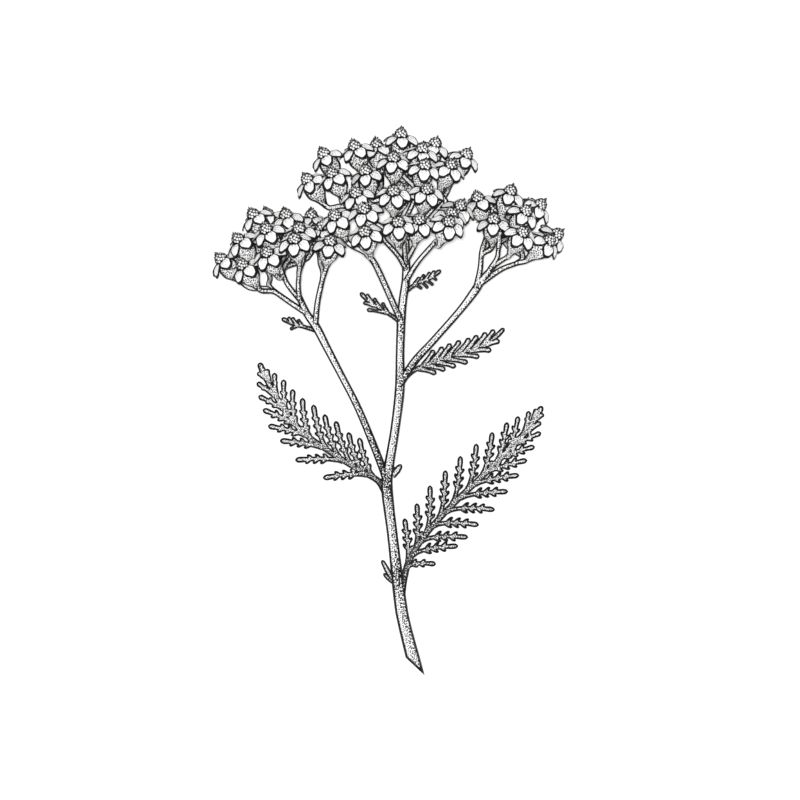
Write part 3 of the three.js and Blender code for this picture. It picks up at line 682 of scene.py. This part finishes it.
class Strap:
    """A flat strap along a curved middle, with a blunt tip. Its plan is a row of discs along the middle.

    One margin of a strap may be marked: the pen follows it inside other straps too. `depths` says how
    deep, first inside a strap that carries others and then inside a lobe.
    """

    def __init__(self, middle, half_at, length, marked=0, depths=(TOUCH, TOUCH), is_lobe=False):
        self.middle, self.half_at, self.length = middle, half_at, length
        self.marked, self.depths, self.is_lobe = marked, depths, is_lobe

    def half(self, u):
        """The half width, which is rounded off to a blunt point over the last stretch of the strap."""
        left = (1 - u) * self.length / (TIP_LENGTH * self.half_at(1))
        return self.half_at(u) * (math.sqrt(max(0.0, 1 - (1 - left) ** 2)) if left < 1 else 1.0)

    def side(self, u):
        ahead = self.middle(min(u + 0.01, 1)) - self.middle(max(u - 0.01, 0))
        return Vector((-ahead.y, ahead.x, 0)).normalized()

    def margin(self):
        """Points along both edges and round the tip, in plan, and the side that each is on."""
        steps = max(8, int(self.length / LINE_STEP))
        for i in range(steps + 1):
            u = i / steps
            for sign in (-1, 1):
                yield (self.middle(u) + self.side(u) * (sign * self.half(u))).xy.to_3d(), sign

    def discs(self):
        steps = max(6, int(self.length / DISC_STEP))
        for i in range(steps + 1):
            yield self.middle(i / steps).xy.to_3d(), self.half(i / steps)


def search_tree(points):
    tree = KDTree(len(points))
    for i, point in enumerate(points):
        tree.insert(point, i)
    tree.balance()
    return tree


def pen_marks(straps):
    """Where the pen goes round straps that overlap: search trees of points, and how thin each line is."""
    discs = [(place, half, owner) for owner, strap in enumerate(straps) for place, half in strap.discs()]
    tree = search_tree([place for place, _half, _owner in discs])
    reach = max(half for _place, half, _owner in discs) + NOTCH
    outline, notches, strokes = [], [], []
    for own, strap in enumerate(straps):
        for point, sign in strap.margin():
            depths = [-1.0, -1.0]  # how deep the point lies inside other carriers, and inside other lobes
            for _place, i, away in tree.find_range(point, reach):
                _place, half, owner = discs[i]
                if owner != own:
                    kind = int(straps[owner].is_lobe)
                    depths[kind] = max(depths[kind], half - away)
            if max(depths) <= -NOTCH:
                outline.append(point)
            elif max(depths) <= TOUCH:
                notches.append(point)
            elif sign == strap.marked and all(depth <= most for depth, most in zip(depths, strap.depths)):
                strokes.append(point)
    lists = ((outline, 0.0), (notches, NOTCH_INSET), (strokes, STROKE_INSET))
    return [(search_tree(points), inset) for points, inset in lists if points]


def draw_marks(bm, marks, verts):
    rim = bm.verts.layers.float["rim"]
    for vert in verts:
        place = vert.co.xy.to_3d()
        vert[rim] = min(tree.find(place)[2] + inset for tree, inset in marks)


print("pen line sampled every", LINE_STEP, "mm")

# %% A leaflet
BLADE_THICKNESS = 0.4
BLADE_CROWN = 0.12  # a blade is so much higher in the middle than along its margins
LEAFLET_HALF = [
    (0, 0.5), (0.2, 0.6), (0.4, 0.6), (0.65, 0.57), (0.78, 0.64), (0.88, 0.74), (0.95, 0.68), (1, 0.52),
]
LEAVING = 0.22  # how far a leaflet first follows the midline, as a share of its length
SLIT_DEPTH = 0.35  # how deep the slit beside a leaflet is drawn into the midline
MOST_PAIRS = 3
FINGER_LENGTH = 3.8  # a leaflet no longer than this has no lobes
PAIR_LENGTH = 1.6  # and each pair needs so much more
LAST_LOBES = 4.2  # the outermost pair springs from so far before the tip
LAST_PLACE = 0.52  # but never nearer to the root than this share of the leaflet
LOBE_PITCH = 2.0
LOBE_STAGGER = 0.02  # one lobe of a pair springs a little later
LAST_REACH, REACH_STEP = 0.88, 0.06  # the outermost lobes' reach, and the growth to the next pair
FULL_LEAFLET = 8.5  # a shorter leaflet has smaller lobes
LOBE_AHEAD = 1.5  # how far a lobe reaches forwards, by how far it reaches out
LOBE_OUTWARDS = 0.62  # a lobe leaves its leaflet outwards for this share of its reach
LOBE_CURL = 1.06  # its bend makes a lobe so much longer
LOBE_HALF = 0.46
LOBE_ROOT, LOBE_GROWTH = 0.8, 0.25  # its half width at its root, by LOBE_HALF, and the growth to its tip


def leaflet_middle(root, forward, tip):
    """A bend from root to tip. The root of the sum makes u about the share of its length."""
    bend = root + forward * LEAVING * (tip - root).length

    def middle(u):
        t = (math.sqrt(LEAVING**2 + (1 - 2 * LEAVING) * u) - LEAVING) / (1 - 2 * LEAVING)
        return root * (1 - t) ** 2 + bend * 2 * t * (1 - t) + tip * t**2

    return middle


def lobe_strap(body, place, sign, reach):
    """A small lobe that springs from a body's middle, leaves it outwards and then bends forwards."""
    start, side = body.middle(place), body.side(place) * sign
    ahead = Vector((side.y, -side.x, 0)) * sign
    bend = start + side * (LOBE_OUTWARDS * reach) + ahead * ((1 - LOBE_OUTWARDS) * reach * LOBE_AHEAD)
    end = start + side * reach + ahead * (reach * LOBE_AHEAD)
    middle = lambda u: start * (1 - u) ** 2 + bend * 2 * u * (1 - u) + end * u**2
    half_at = lambda u: LOBE_HALF * (LOBE_ROOT + LOBE_GROWTH * u)
    length = (end - start).length * LOBE_CURL
    return Strap(middle, half_at, length, sign, (TOUCH, length), True)


def leaflet(root, forward, tip, girth, reach, front=0):
    """A leaflet's straps: its body first, then its lobes. Its front margin faces the leaf's tip."""
    length = (tip - root).length
    middle = leaflet_middle(root, forward, tip)
    body = Strap(middle, lambda u: girth * steady(u, LEAFLET_HALF), length, front, (SLIT_DEPTH, TOUCH))
    pairs = min(MOST_PAIRS, round((length - FINGER_LENGTH) / PAIR_LENGTH)) if reach else 0
    lobes = []
    last = min(LAST_LOBES, LAST_PLACE * length)
    small = min(1.0, length / FULL_LEAFLET)
    for i in range(pairs):
        place = 1 - (last + i * LOBE_PITCH) / length
        out = small * reach * (LAST_REACH + REACH_STEP * i)
        lobes += [lobe_strap(body, place + LOBE_STAGGER * sign, sign, out) for sign in (-1, 1)]
    return [body, *lobes]


def strap_model(bm, strap, columns, rows, lift, droop, root_tone, tip_tone):
    """The closed blade of a strap. It droops from its root."""
    def shape(u, v):
        point = strap.middle(u) + strap.side(u) * (v * strap.half(u))
        point.z += lift + BLADE_CROWN * (1 - v * v) - droop(point)
        return point, tip_tone + (root_tone - tip_tone) * (1 - u) ** 2

    return blade(bm, columns, rows, Vector((0, 0, BLADE_THICKNESS)), shape)


print("half widths of a leaflet:", [round(steady(i / 5, LEAFLET_HALF), 2) for i in range(6)])

# %% A leaf
MIDLINE_HALF = [(0.14, 0.9), (0.3, 0.85), (0.8, 0.85), (0.9, 1.0), (0.97, 0.9), (1.0, 0.8)]
# The midline's tone is darkest at its foot, where painted shade gathers by the stem.
MIDLINE_TONES = (1.4, 0.6)  # at its foot and its tip
ROOT_OUT = 0.5  # a leaflet starts so far beside the middle of the midline
FACE_LENGTH = 0.3  # along the midline and the leaflets
FACES_ACROSS = 6
LEAST_FACES, LOBE_FACES = 12, 10  # along a leaflet and along a lobe
MIDLINE_LIFT, LEAFLET_LIFT, LOBE_LIFT = 0.12, 0.06, 0.02  # blades that overlap lie at different heights
LEAFLET_FADE, LOBE_FADE = 0.45, 0.5  # how much of the root's tone is left at the tip


def root_of(midline, place, out):
    """Where a leaflet starts beside a midline's middle, and the way forwards along the midline there."""
    side = midline.side(place)
    return midline.middle(place) + side * out, Vector((side.y, -side.x, 0))


def leaf_model(leaf):
    bm = new_bmesh()
    shade, girth = leaf["shade"], leaf["girth"]
    points = [on_curve(leaf["midline"], i / 20) for i in range(21)]
    length = sum((b - a).length for a, b in zip(points, points[1:]))
    widths = [(0.0, leaf["base"] / leaf["rib"]), *MIDLINE_HALF]
    half_at = lambda u: leaf["rib"] * steady(u, widths)
    midline = Strap(lambda u: on_curve(leaf["midline"], u), half_at, length)
    straps = [midline]
    foot_tone, tip_tone = (shade * tone for tone in MIDLINE_TONES)
    along = int(length / FACE_LENGTH)
    strap_model(bm, midline, along, FACES_ACROSS, MIDLINE_LIFT, lambda point: 0, foot_tone, tip_tone)
    for side, sign, reach in (("left", 1, leaf["reach"][0]), ("right", -1, leaf["reach"][1])):
        for x, y, place in leaf[side]:
            root, ahead = root_of(midline, place, sign * ROOT_OUT * leaf["rib"])
            parts = leaflet(root, ahead, Vector((x, y, root.z)), girth, reach, -sign)
            droop = lambda point: leaf["droop"] * (point.xy - root.xy).length_squared
            # Painted shade over the leaf's darker tissue: leaflets nearer the leaf's foot are darker, and
            # each is darkest at its root.
            dark = shade * (1.1 - 0.5 * place)
            along = max(LEAST_FACES, int(parts[0].length / FACE_LENGTH))
            strap_model(bm, parts[0], along, FACES_ACROSS, LEAFLET_LIFT, droop, dark, LEAFLET_FADE * dark)
            for i, lobe in enumerate(parts[1:]):
                tone = dark * (0.5 + 0.5 * i / len(parts))
                lift = LOBE_LIFT * (i % 2)
                strap_model(bm, lobe, LOBE_FACES, FACES_ACROSS, lift, droop, tone, LOBE_FADE * tone)
            straps += parts
    draw_marks(bm, pen_marks(straps), bm.verts)
    return bm


for name, leaf in LEAVES.items():
    model = leaf_model(leaf)
    print(name, "faces:", len(model.faces))
    new_piece("feathery_" + name, model, [leaf_finish], name)

# %% [markdown]
# Two pairs of tiny leaflets sit in the axils of the lower leaves, on the stem itself. They are straps
# like the leaflets of a leaf. They belong to the stem's piece, which is finished here.

# %% The axil leaflets
AXIL_HALF = [(0.0, 0.55), (0.5, 0.7), (1.0, 0.5)]
AXIL_LIFT = 0.1
AXIL_TONES = (0.5, 0.3)  # at the root and the tip
AXIL_FACES, AXIL_ACROSS = 12, 4
AXIL_LEAFLETS = [  # root, tip and girth
    ((0.5, -18.6, 7.6), (2.8, -15.5, 8.4), 1.3), ((0.6, -17.4, 7.6), (1.7, -16.2, 8.2), 0.8),
    ((0.5, -44.6, 4.4), (-2.2, -39.5, 4.6), 1.05), ((0.6, -45.2, 4.4), (-1.8, -42.9, 4.6), 0.9),
]

stem_faces = set(stem_bm.faces)
for root, tip, girth in AXIL_LEAFLETS:
    start, end = Vector(root), Vector(tip)
    middle = lambda u: start.lerp(end, u)
    body = Strap(middle, lambda u: girth * steady(u, AXIL_HALF), (end - start).length)
    verts = strap_model(stem_bm, body, AXIL_FACES, AXIL_ACROSS, AXIL_LIFT, lambda point: 0, *AXIL_TONES)
    draw_marks(stem_bm, pen_marks([body]), verts)
for face in stem_bm.faces:
    if face not in stem_faces:
        face.material_index = 1
new_piece("main_stem", stem_bm, [stalk_finish, leaf_finish], "stem")
print("the stem is whole")

# %% [markdown]
# ## Where the flower heads are
#
# The heads of a spray crowd into a domed cluster. Each one starts from a place for its disc, and crowded
# ones push each other apart, mostly up and down, until all of them have room. A head's axis fans out
# across its spray and rises with its height, which is how a real cluster turns each head to the light.
# Chance turns each head a little and varies its petals. The same draws in the same order give the same
# heads every time.

# %% The sprays
# A head's axis leans sideways by `fan` for its place across the spray, and by `side` as all its spray
# does. It leans up from the table by `low` for the lowest head to `high` for the highest. `foot` is the
# trunk's extra tone of painted shade where it leaves the stem.
SPRAYS = {
    "left": {
        "trunk": [
            (-0.5, -21.4, 8.0, 0.98), (-2.6, -14.9, 8.9, 1.0), (-7.8, -2.1, 9.8, 0.95),
            (-12.1, 6.4, 11, 0.93), (-15.6, 13.1, 12, 1.02), (-18.6, 18.9, 13, 1.12),
            (-20.9, 22.2, 13.3, 0.98), (-22.9, 26.6, 14.2, 0.81),
        ],
        "forks": [
            [(-20.9, 22.2, 13.3, 0.73), (-25.2, 25.1, 13.6, 0.73), (-28.5, 27.4, 14, 0.68)],
            [(-22.3, 25.2, 13.8, 0.73), (-25.3, 28.9, 15.4, 0.68), (-26.4, 30.8, 15.6, 0.63)],
            [(-22.8, 26.2, 14.1, 0.73), (-23, 29.2, 17.2, 0.68), (-22.8, 32.1, 20, 0.63)],
            [(-18.8, 19.4, 13, 0.81), (-18.2, 25.1, 15, 0.76), (-17, 30.6, 17.6, 0.71)],
        ],
        "discs": [
            (-41.2, 37.6, 11), (-37.5, 41.5, 11), (-34.8, 45, 11), (-31.9, 46.4, 4.4),
            (-26.9, 46.9, 12), (-20.2, 46.9, 9), (-30.2, 43.3, 18), (-23.3, 43.5, 19),
            (-24.8, 40.6, 26), (-30.5, 38, 24), (-36.6, 35.2, 20), (-15.1, 40.5, 22), (-18.1, 44.2, 15),
            (-35, 41.6, 5),
        ],
        "fan": 0.5, "side": -0.35, "low": 0.15, "high": 0.85, "foot": 0.85,
    },
    "right": {
        "trunk": [
            (2.5, 4.6, 12.4, 0.98), (5.9, 10.1, 12.7, 1.04), (10.7, 15.4, 12.6, 0.95),
            (17.3, 22.9, 13.2, 0.95), (20.9, 27.6, 13.6, 1.15), (22.6, 30.2, 14.2, 1.1),
            (25.8, 34, 17, 0.73),
        ],
        "forks": [
            [(21.4, 28.4, 13.8, 0.85), (22.4, 33, 14.4, 0.75), (22.7, 36.4, 15.4, 0.68)],
            [(24.8, 33.2, 16.4, 0.71), (26.6, 36, 18, 0.66), (27, 38.6, 19, 0.61)],
            [(25.2, 33.6, 16.8, 0.71), (27.4, 35.2, 17.6, 0.66), (29, 36.2, 18, 0.61)],
            [(22.3, 29.6, 14.1, 0.85), (27.6, 33.2, 14.6, 0.71), (31.6, 34.8, 14.6, 0.66)],
        ],
        "discs": [
            (23.9, 51.6, 11), (30.4, 51.8, 11), (36.3, 49.2, 11), (40.9, 43.7, 11), (33.4, 47.8, 18),
            (26.5, 46.1, 19), (33.2, 42.6, 25), (39.9, 40.7, 18), (32.6, 49.6, 3.2), (26.5, 48.6, 4),
        ],
        "fan": 0.65, "side": 0.55, "low": 0.15, "high": 0.85, "foot": 0.6,
    },
    "top": {
        "trunk": [
            (2.64, 19.86, 14.56, 1.17), (3.1, 25.4, 15.6, 1.12), (3.9, 30.9, 16.6, 1.12),
            (3.9, 35.6, 17.5, 1.07), (3.8, 40.6, 16.6, 0.98), (3.2, 45.6, 14.6, 0.85),
        ],
        "forks": [
            [
                (2.6, 20.6, 14.8, 0.9), (0.6, 24.9, 17, 0.85), (-1.5, 29.6, 20, 0.85),
                (-3.9, 34.6, 24, 0.83), (-5.6, 36.6, 25.6, 0.76),
            ],
            [(3.9, 33.2, 17, 0.76), (1.9, 36.6, 21.5, 0.71), (-1.6, 40.4, 25.5, 0.66)],
            [(3.9, 34.8, 17.4, 0.76), (3.6, 37.6, 23, 0.71), (3.4, 40, 29, 0.66)],
            [(3.9, 35.2, 17.4, 0.76), (5.6, 38.2, 22.4, 0.71), (6.9, 41, 26, 0.66)],
            [(3.9, 30.4, 16.6, 0.81), (6.9, 35.1, 21, 0.71), (10.9, 39.6, 26.4, 0.66)],
            [(3.8, 40, 16.7, 0.73), (-3.2, 44.6, 14, 0.68), (-10.6, 48.8, 12.4, 0.63)],
            [(3.4, 44, 15.4, 0.73), (1.4, 47.6, 14.2, 0.68), (-1.1, 50.6, 13.4, 0.63)],
            [(3.3, 44.8, 15, 0.73), (4.8, 48, 13.6, 0.68), (6.2, 51, 12.6, 0.63)],
            [(3.8, 40.4, 16.6, 0.73), (8.4, 45.8, 14.4, 0.68), (12.8, 50.8, 12.6, 0.63)],
        ],
        "discs": [
            (-20, 57.1, 11), (-16.4, 61.7, 10), (-9.7, 63.8, 10), (-2.8, 64.8, 7), (3.1, 66, 12),
            (11, 64.9, 10), (19, 62.3, 10), (-13.7, 57.5, 17), (-5.8, 58.8, 17), (0.6, 61, 17),
            (7.3, 62.6, 16), (13.7, 60.2, 17), (7.9, 58.4, 22), (3.6, 61.8, 3), (2.8, 54.2, 24),
            (0.2, 52.4, 31), (10.1, 52.8, 27), (-8.9, 52, 26), (14.1, 48.3, 29), (17.5, 49.2, 22),
            (-6.7, 48.3, 32), (-13.1, 47, 29), (2.1, 44.9, 38), (7.1, 45.9, 33), (14.6, 45.2, 36),
            (-6.2, 42.9, 38),
        ],
        "fan": 0.6, "side": -0.06, "low": 0.2, "high": 0.95, "foot": 0.12,
    },
}
print("heads:", [len(spray["discs"]) for spray in SPRAYS.values()])

# %% Chance
SEED = 1893


def draws(state):
    while True:
        state = (state * 1664525 + 1013904223) % 2**32
        yield state / 2**32


chance = draws(SEED)


def between(low, high):
    return low + (high - low) * next(chance)


HEAD_TURN = 0.35


class Head:
    """One flower head: the middle of its disc, and its turn about its own axis."""

    def __init__(self, disc):
        self.disc = Vector(disc)
        self.spin = between(-HEAD_TURN, HEAD_TURN)


heads = {name: [Head(disc) for disc in spray["discs"]] for name, spray in SPRAYS.items()}
print("first spin:", round(heads["left"][0].spin, 4))

# %% Crowded heads make room
HEAD_SPACING = 8.6
HEAD_SIDEWAYS = 0.3
SPREAD_PASSES = 160

crowd = [head for spray in heads.values() for head in spray]
for _ in range(SPREAD_PASSES):
    for i, head in enumerate(crowd):
        for other in crowd[i + 1:]:
            apart = other.disc - head.disc
            lacking = HEAD_SPACING - apart.length
            if lacking > 0:
                step = apart.normalized() * lacking / 2
                step.x *= HEAD_SIDEWAYS
                step.y *= HEAD_SIDEWAYS
                head.disc = head.disc - step
                other.disc = other.disc + step
print("highest disc in mm:", round(max(head.disc.z for head in crowd), 1))

# %% Each head's axis and turn
HEAD_MIDDLE = 0.4
DISC_HEIGHT = 2.5
DOWN_THE_PAGE = Vector((0, -1, 0))

for name, spray in SPRAYS.items():
    xs = [disc[0] for disc in spray["discs"]]
    zs = [disc[2] for disc in spray["discs"]]
    middle = (min(xs) + max(xs)) / 2
    for head in heads[name]:
        across = (head.disc.x - middle) / (max(xs) - middle)
        height = min(max((head.disc.z - min(zs)) / (max(zs) - min(zs)), 0), 1)
        lean = spray["low"] + (spray["high"] - spray["low"]) * height
        head.axis = Vector((spray["fan"] * across + spray["side"], 1, lean)).normalized()
        head.origin = head.disc - head.axis * HEAD_MIDDLE * DISC_HEIGHT
        head.height = height
        down = (DOWN_THE_PAGE - head.axis * DOWN_THE_PAGE.dot(head.axis)).normalized()
        turn = Matrix((down, head.axis.cross(down), head.axis)).transposed().to_4x4()
        head.place = Matrix.Translation(head.origin) @ turn @ Matrix.Rotation(head.spin, 4, "Z")
print("first axis:", [round(part, 3) for part in heads["left"][0].axis])

# %% [markdown]
# ## Stalks of the sprays
#
# A trunk divides into forks, and each head's thin pedicel springs from the end of the nearest fork. A
# pedicel swells at its end into the cup of green scales that holds the head. Pedicel and cup are one
# stalk, because they are one growth: its last rings follow the profile of the cup.

# %% Forks and pedicels
STALK_SIDES = 14
STALK_SPANS = 6
STALK_TONE = 0.03
# Painted shade where stalks meet: extra tone at the end of each trunk and fork, and at the foot of each
# fork.
FORK_SHADE = 0.35
FOOT_REACH = 0.4  # of a route, from its foot
END_REACH = 0.25  # of a route, before its end
FORK_LIFT = 0.5  # a fork starts so far above the middle of its trunk, so that the two run together
PEDICEL_RADIUS = 0.72
PEDICEL_REACH = 0.4
PEDICEL_STEPS = 9
# Painted shade: a pedicel darkens where it meets its cup, and the stalks and cups of heads low in a spray
# darken more.
PEDICEL_SHADE = 0.1  # extra tone where a pedicel meets its cup
LOW_SHADE = 0.08  # extra tone under the lowest head of a spray
CUP_STEPS = 12
CUP = [(-7.2, 0.8), (-5.4, 1.5), (-3.6, 2.55), (-1.3, 2.5), (-0.2, 1.2)]  # height under the head, radius
CUP_TONE = 0.24
# Painted shadow of the petals on the top of the cup.
CUP_SHADOW = 0.1  # extra tone under the petals


def stalk_rings(route, lift, foot):
    """The rings of a trunk or fork, with painted shade: stipple that crowds at its foot and a little
    before its end, where it meets other stalks.
    """
    count = (len(route) - 1) * STALK_SPANS
    for i in range(count + 1):
        t = i / count
        x, y, z, radius = on_curve(route, t)
        crowded_shade = foot * max(0, 1 - t / FOOT_REACH) + FORK_SHADE * max(0, 1 - (1 - t) / END_REACH) ** 2
        yield Vector((x, y, z + lift * (1 - t) ** 2)), radius, STALK_TONE + crowded_shade


def pedicel_rings(fork, head):
    start = Vector(fork[-1][:3])
    leaving = (start - Vector(fork[-2][:3])).normalized()
    end = head.origin + head.axis * CUP[0][0]
    reach = PEDICEL_REACH * (end - start).length
    shade = LOW_SHADE * (1 - head.height)
    for i in range(PEDICEL_STEPS):
        t = i / PEDICEL_STEPS
        middle = bezier(start, start + leaving * reach, end - head.axis * reach, end, t)
        yield middle, PEDICEL_RADIUS, STALK_TONE + shade + PEDICEL_SHADE * t**3
    for i in range(CUP_STEPS + 1):
        t = i / CUP_STEPS
        height, radius = on_curve(CUP, t)
        yield head.origin + head.axis * height, radius, CUP_TONE + shade + CUP_SHADOW * t**2


def nearest_fork(spray, head):
    base = head.origin + head.axis * CUP[0][0]
    return min(spray["forks"], key=lambda fork: (Vector(fork[-1][:3]) - base).length)


for name, spray in SPRAYS.items():
    bm = new_bmesh()
    stalk(bm, stalk_rings(spray["trunk"], 0, spray["foot"]), STALK_SIDES)
    for fork in spray["forks"]:
        stalk(bm, stalk_rings(fork, FORK_LIFT, FORK_SHADE), STALK_SIDES)
    for head in heads[name]:
        stalk(bm, pedicel_rings(nearest_fork(spray, head), head), STALK_SIDES)
    print("spray", name, "faces:", len(bm.faces))
    settle(bm)
    new_piece("stalks_" + name, bm, [stalk_finish], "spray_" + name)

# %% [markdown]
# ## Petals
#
# A ray of yarrow is short, broad and white, with three rounded teeth at its end and two fine furrows that
# run in between them. It droops from the rim of the disc. It is a blade like a leaflet, and one pattern
# is enough for all the heads, because every petal is also turned and sized by chance.

# %% Petal finish
PETAL_LINE = 0.34
PETAL_LIGHT = (0.97, 0.97, 0.965, 1)
PETAL_DARK = (0.93, 0.93, 0.925, 1)
PETAL_BUMP = 0.02 * MM

petal_finish = rimmed("inked_petal", PETAL_LINE, PETAL_LIGHT, PETAL_DARK, PETAL_BUMP)

# %% A petal
DISC_RIM = 1.3
DISC_RADIUS = 1.65
PETAL_LENGTH = 3.3
PETAL_LIFT = 0.55
PETAL_SAG = 0.2
PETAL_THICKNESS = 0.3
PETAL_HALF = [(0.0, 0.95), (0.2, 1.3), (0.45, 1.66), (0.7, 1.78), (1.0, 1.5)]
PETAL_SHINGLE = math.radians(6)  # one side of each petal lies over its neighbour
PETAL_CROWN = 0.12  # a petal's margins are so much lower than its middle
FURROW = 1 / 3  # where the furrows run, as a share of the half width
FURROW_WIDTH = 0.15
FURROW_DEPTH = 0.05
# Painted shade: the furrows are stippled darker towards the petal's root, and the root where it meets the
# disc is stippled too.
FURROW_SHADE = 0.55
PETAL_ROOT_SHADE = 0.2
PETAL_TONE = 0.02
TOOTH_NOTCH = 0.12
NOTCH_WIDTH = 0.2
TIP_ROUND = 1.15


def petal_shape(u, v):
    half = steady(u, PETAL_HALF)
    notch = TOOTH_NOTCH * math.exp(-(((v - FURROW) / NOTCH_WIDTH) ** 2)) * u**6
    out = PETAL_LENGTH * u - (TIP_ROUND * abs(v) ** 3 + notch) * u**3
    furrow = math.exp(-(((abs(v) - FURROW) / FURROW_WIDTH) ** 2))
    height = PETAL_LIFT - PETAL_SAG * out**2 - PETAL_CROWN * v * v - FURROW_DEPTH * furrow
    # Painted shade in the furrows and at the root, over a faint even tone.
    tone = FURROW_SHADE * furrow * max(0.0, 1 - 1.6 * u) + PETAL_ROOT_SHADE * max(0.0, 1 - 3 * u) + PETAL_TONE
    return Vector((DISC_RIM + out, v * half, height)), tone


def petal_marks():
    """The line round a petal, and the line where it comes out from under the disc."""
    steps = [i / 60 for i in range(61)]
    plan = [petal_shape(u, v)[0] for u in steps for v in (-1, 1)]
    plan += [petal_shape(1, 2 * u - 1)[0] for u in steps]
    turns = [math.radians(60) * (2 * u - 1) for u in steps]
    plan += [Vector((math.cos(turn), math.sin(turn), 0)) * DISC_RADIUS for turn in turns]
    return [(search_tree([point.xy.to_3d() for point in plan]), 0.0)]


petal_bm = new_bmesh()
petal_verts = blade(petal_bm, 9, 6, Vector((0, 0, PETAL_THICKNESS)), petal_shape)
draw_marks(petal_bm, petal_marks(), petal_verts)
shingle = Matrix.Rotation(PETAL_SHINGLE, 3, "X")
bmesh.ops.rotate(petal_bm, cent=(0, 0, PETAL_LIFT), matrix=shingle, verts=petal_verts)
petal_mesh = bpy.data.meshes.new("petal_pattern")
petal_bm.to_mesh(petal_mesh)
print("petal faces:", len(petal_bm.faces))
petal_bm.free()

# %% [markdown]
# ## Discs
#
# The middle of a head is a low dome packed with tiny florets. Packed florets stand on a sunflower spiral:
# each is turned from the last by the golden angle. The pen leaves the florets white and fills the chinks
# between them with painted shade.

# %% Disc finish
DISC_LINE = 0.08
DISC_BUMP = 0.03 * MM

disc_finish = rimmed("inked_disc", DISC_LINE, PETAL_LIGHT, TISSUE_DARK, DISC_BUMP)

# %% A disc of florets
GOLDEN_ANGLE = 2.399963
FLORETS = 34
FLORET_RADIUS = 0.43
DOME = Vector((1.4, 1.4, 1.6))  # its half sizes
DOME_HEIGHT = 0.6
# Painted shade: the dome under the florets is inked, so that the chinks between them read as shaded
# hollows.
CHINK_SHADE_RIM = 0.03  # less than DISC_LINE, so that the chinks between the florets are inked
FLORET_SPREAD = math.radians(90)
BUDS = [(0, 0, 1.15), (0.3, 2, 0.85), (0.32, 5, 0.7)]  # tilt and turn of a standing bud, its height
BUD_RADIUS = 0.34

disc_bm = new_bmesh()
dome = bmesh.ops.create_icosphere(disc_bm, subdivisions=2, radius=1)["verts"]
bmesh.ops.scale(disc_bm, vec=DOME, verts=dome)
bmesh.ops.translate(disc_bm, vec=(0, 0, DOME_HEIGHT), verts=dome)
mark(disc_bm, dome, rim=CHINK_SHADE_RIM, girth=DISC_RADIUS)


def on_dome(tilt, spin):
    return Vector((math.sin(tilt) * math.cos(spin), math.sin(tilt) * math.sin(spin), math.cos(tilt)))


def floret(out, radius, height, girth):
    verts = bmesh.ops.create_icosphere(disc_bm, subdivisions=1, radius=radius)["verts"]
    rim = lambda vert: radius * (1 - vert.co.normalized().cross(out).length)
    mark(disc_bm, verts, rim=rim, girth=girth)
    stretch = Matrix.Scale(height / radius, 3, out)
    bmesh.ops.transform(disc_bm, matrix=stretch.to_4x4(), verts=verts)
    bmesh.ops.translate(disc_bm, vec=out * DOME + Vector((0, 0, DOME_HEIGHT)), verts=verts)
    return verts


for i in range(FLORETS):
    out = on_dome(FLORET_SPREAD * math.sqrt((i + 0.5) / FLORETS), GOLDEN_ANGLE * i)
    floret(out, FLORET_RADIUS, FLORET_RADIUS, DISC_RADIUS)
for tilt, spin, height in BUDS:
    mark(disc_bm, floret(on_dome(tilt, spin), BUD_RADIUS, height, 0), rim=1)
for face in disc_bm.faces:
    face.material_index = 1
disc_mesh = bpy.data.meshes.new("disc_pattern")
disc_bm.to_mesh(disc_mesh)
print("disc faces:", len(disc_bm.faces))
disc_bm.free()

# %% [markdown]
# ## Flower heads
#
# A head is six petals round a disc. Each is a copy of a pattern, joined into one model at the head's
# place. The living plant has five rays as a rule, but a sixth keeps the ring full where a petal hides
# behind the disc.

# %% All the heads
PETALS = 6
PETAL_STRAY = 0.05
PETAL_SIZES = (0.94, 1.04)
DISC_OUTLINE = 0.34  # the width of the line round a disc
FLANK_RISE = 0.1  # where a disc faces less upwards than this, it stays pale


def stamp(bm, pattern, place):
    """Adds a copy of a pattern at a place."""
    before = len(bm.verts)
    bm.from_mesh(pattern)
    bm.verts.ensure_lookup_table()
    verts = bm.verts[before:]
    bmesh.ops.transform(bm, matrix=place, verts=verts)
    return verts


def outline_disc(bm, verts, middle):
    """The pen line round a disc and its buds, which lies where they turn upright on the placed head."""
    bm.normal_update()
    rim, girth = bm.verts.layers.float["rim"], bm.verts.layers.float["girth"]
    for vert in verts:
        facing = (vert.co - middle).normalized() if vert[girth] else vert.normal
        rise = abs(facing.z)
        if rise > FLANK_RISE:
            inside = (vert[girth] or BUD_RADIUS) * (1 - math.sqrt(1 - min(rise, 1) ** 2))
            vert[rim] = min(vert[rim], inside * DISC_LINE / DISC_OUTLINE)


for name in SPRAYS:
    for number, head in enumerate(heads[name], 1):
        bm = new_bmesh()
        for petal in range(PETALS):
            angle = 2 * math.pi * (petal + between(-PETAL_STRAY, PETAL_STRAY)) / PETALS
            size = between(*PETAL_SIZES)
            turned = Matrix.Rotation(angle, 4, "Z")
            shift = Matrix.Translation((DISC_RIM * (1 - size), 0, 0))
            stamp(bm, petal_mesh, head.place @ turned @ shift @ Matrix.Scale(size, 4, (1, 0, 0)))
        outline_disc(bm, stamp(bm, disc_mesh, head.place), head.place @ Vector((0, 0, DOME_HEIGHT)))
        label = f"{name}_{number:02d}"
        settle(bm)
        new_piece("flower_" + label, bm, [petal_finish, disc_finish], "bloom_" + label)
bpy.data.meshes.remove(petal_mesh)
bpy.data.meshes.remove(disc_mesh)
print("heads made:", sum(len(group) for group in heads.values()))
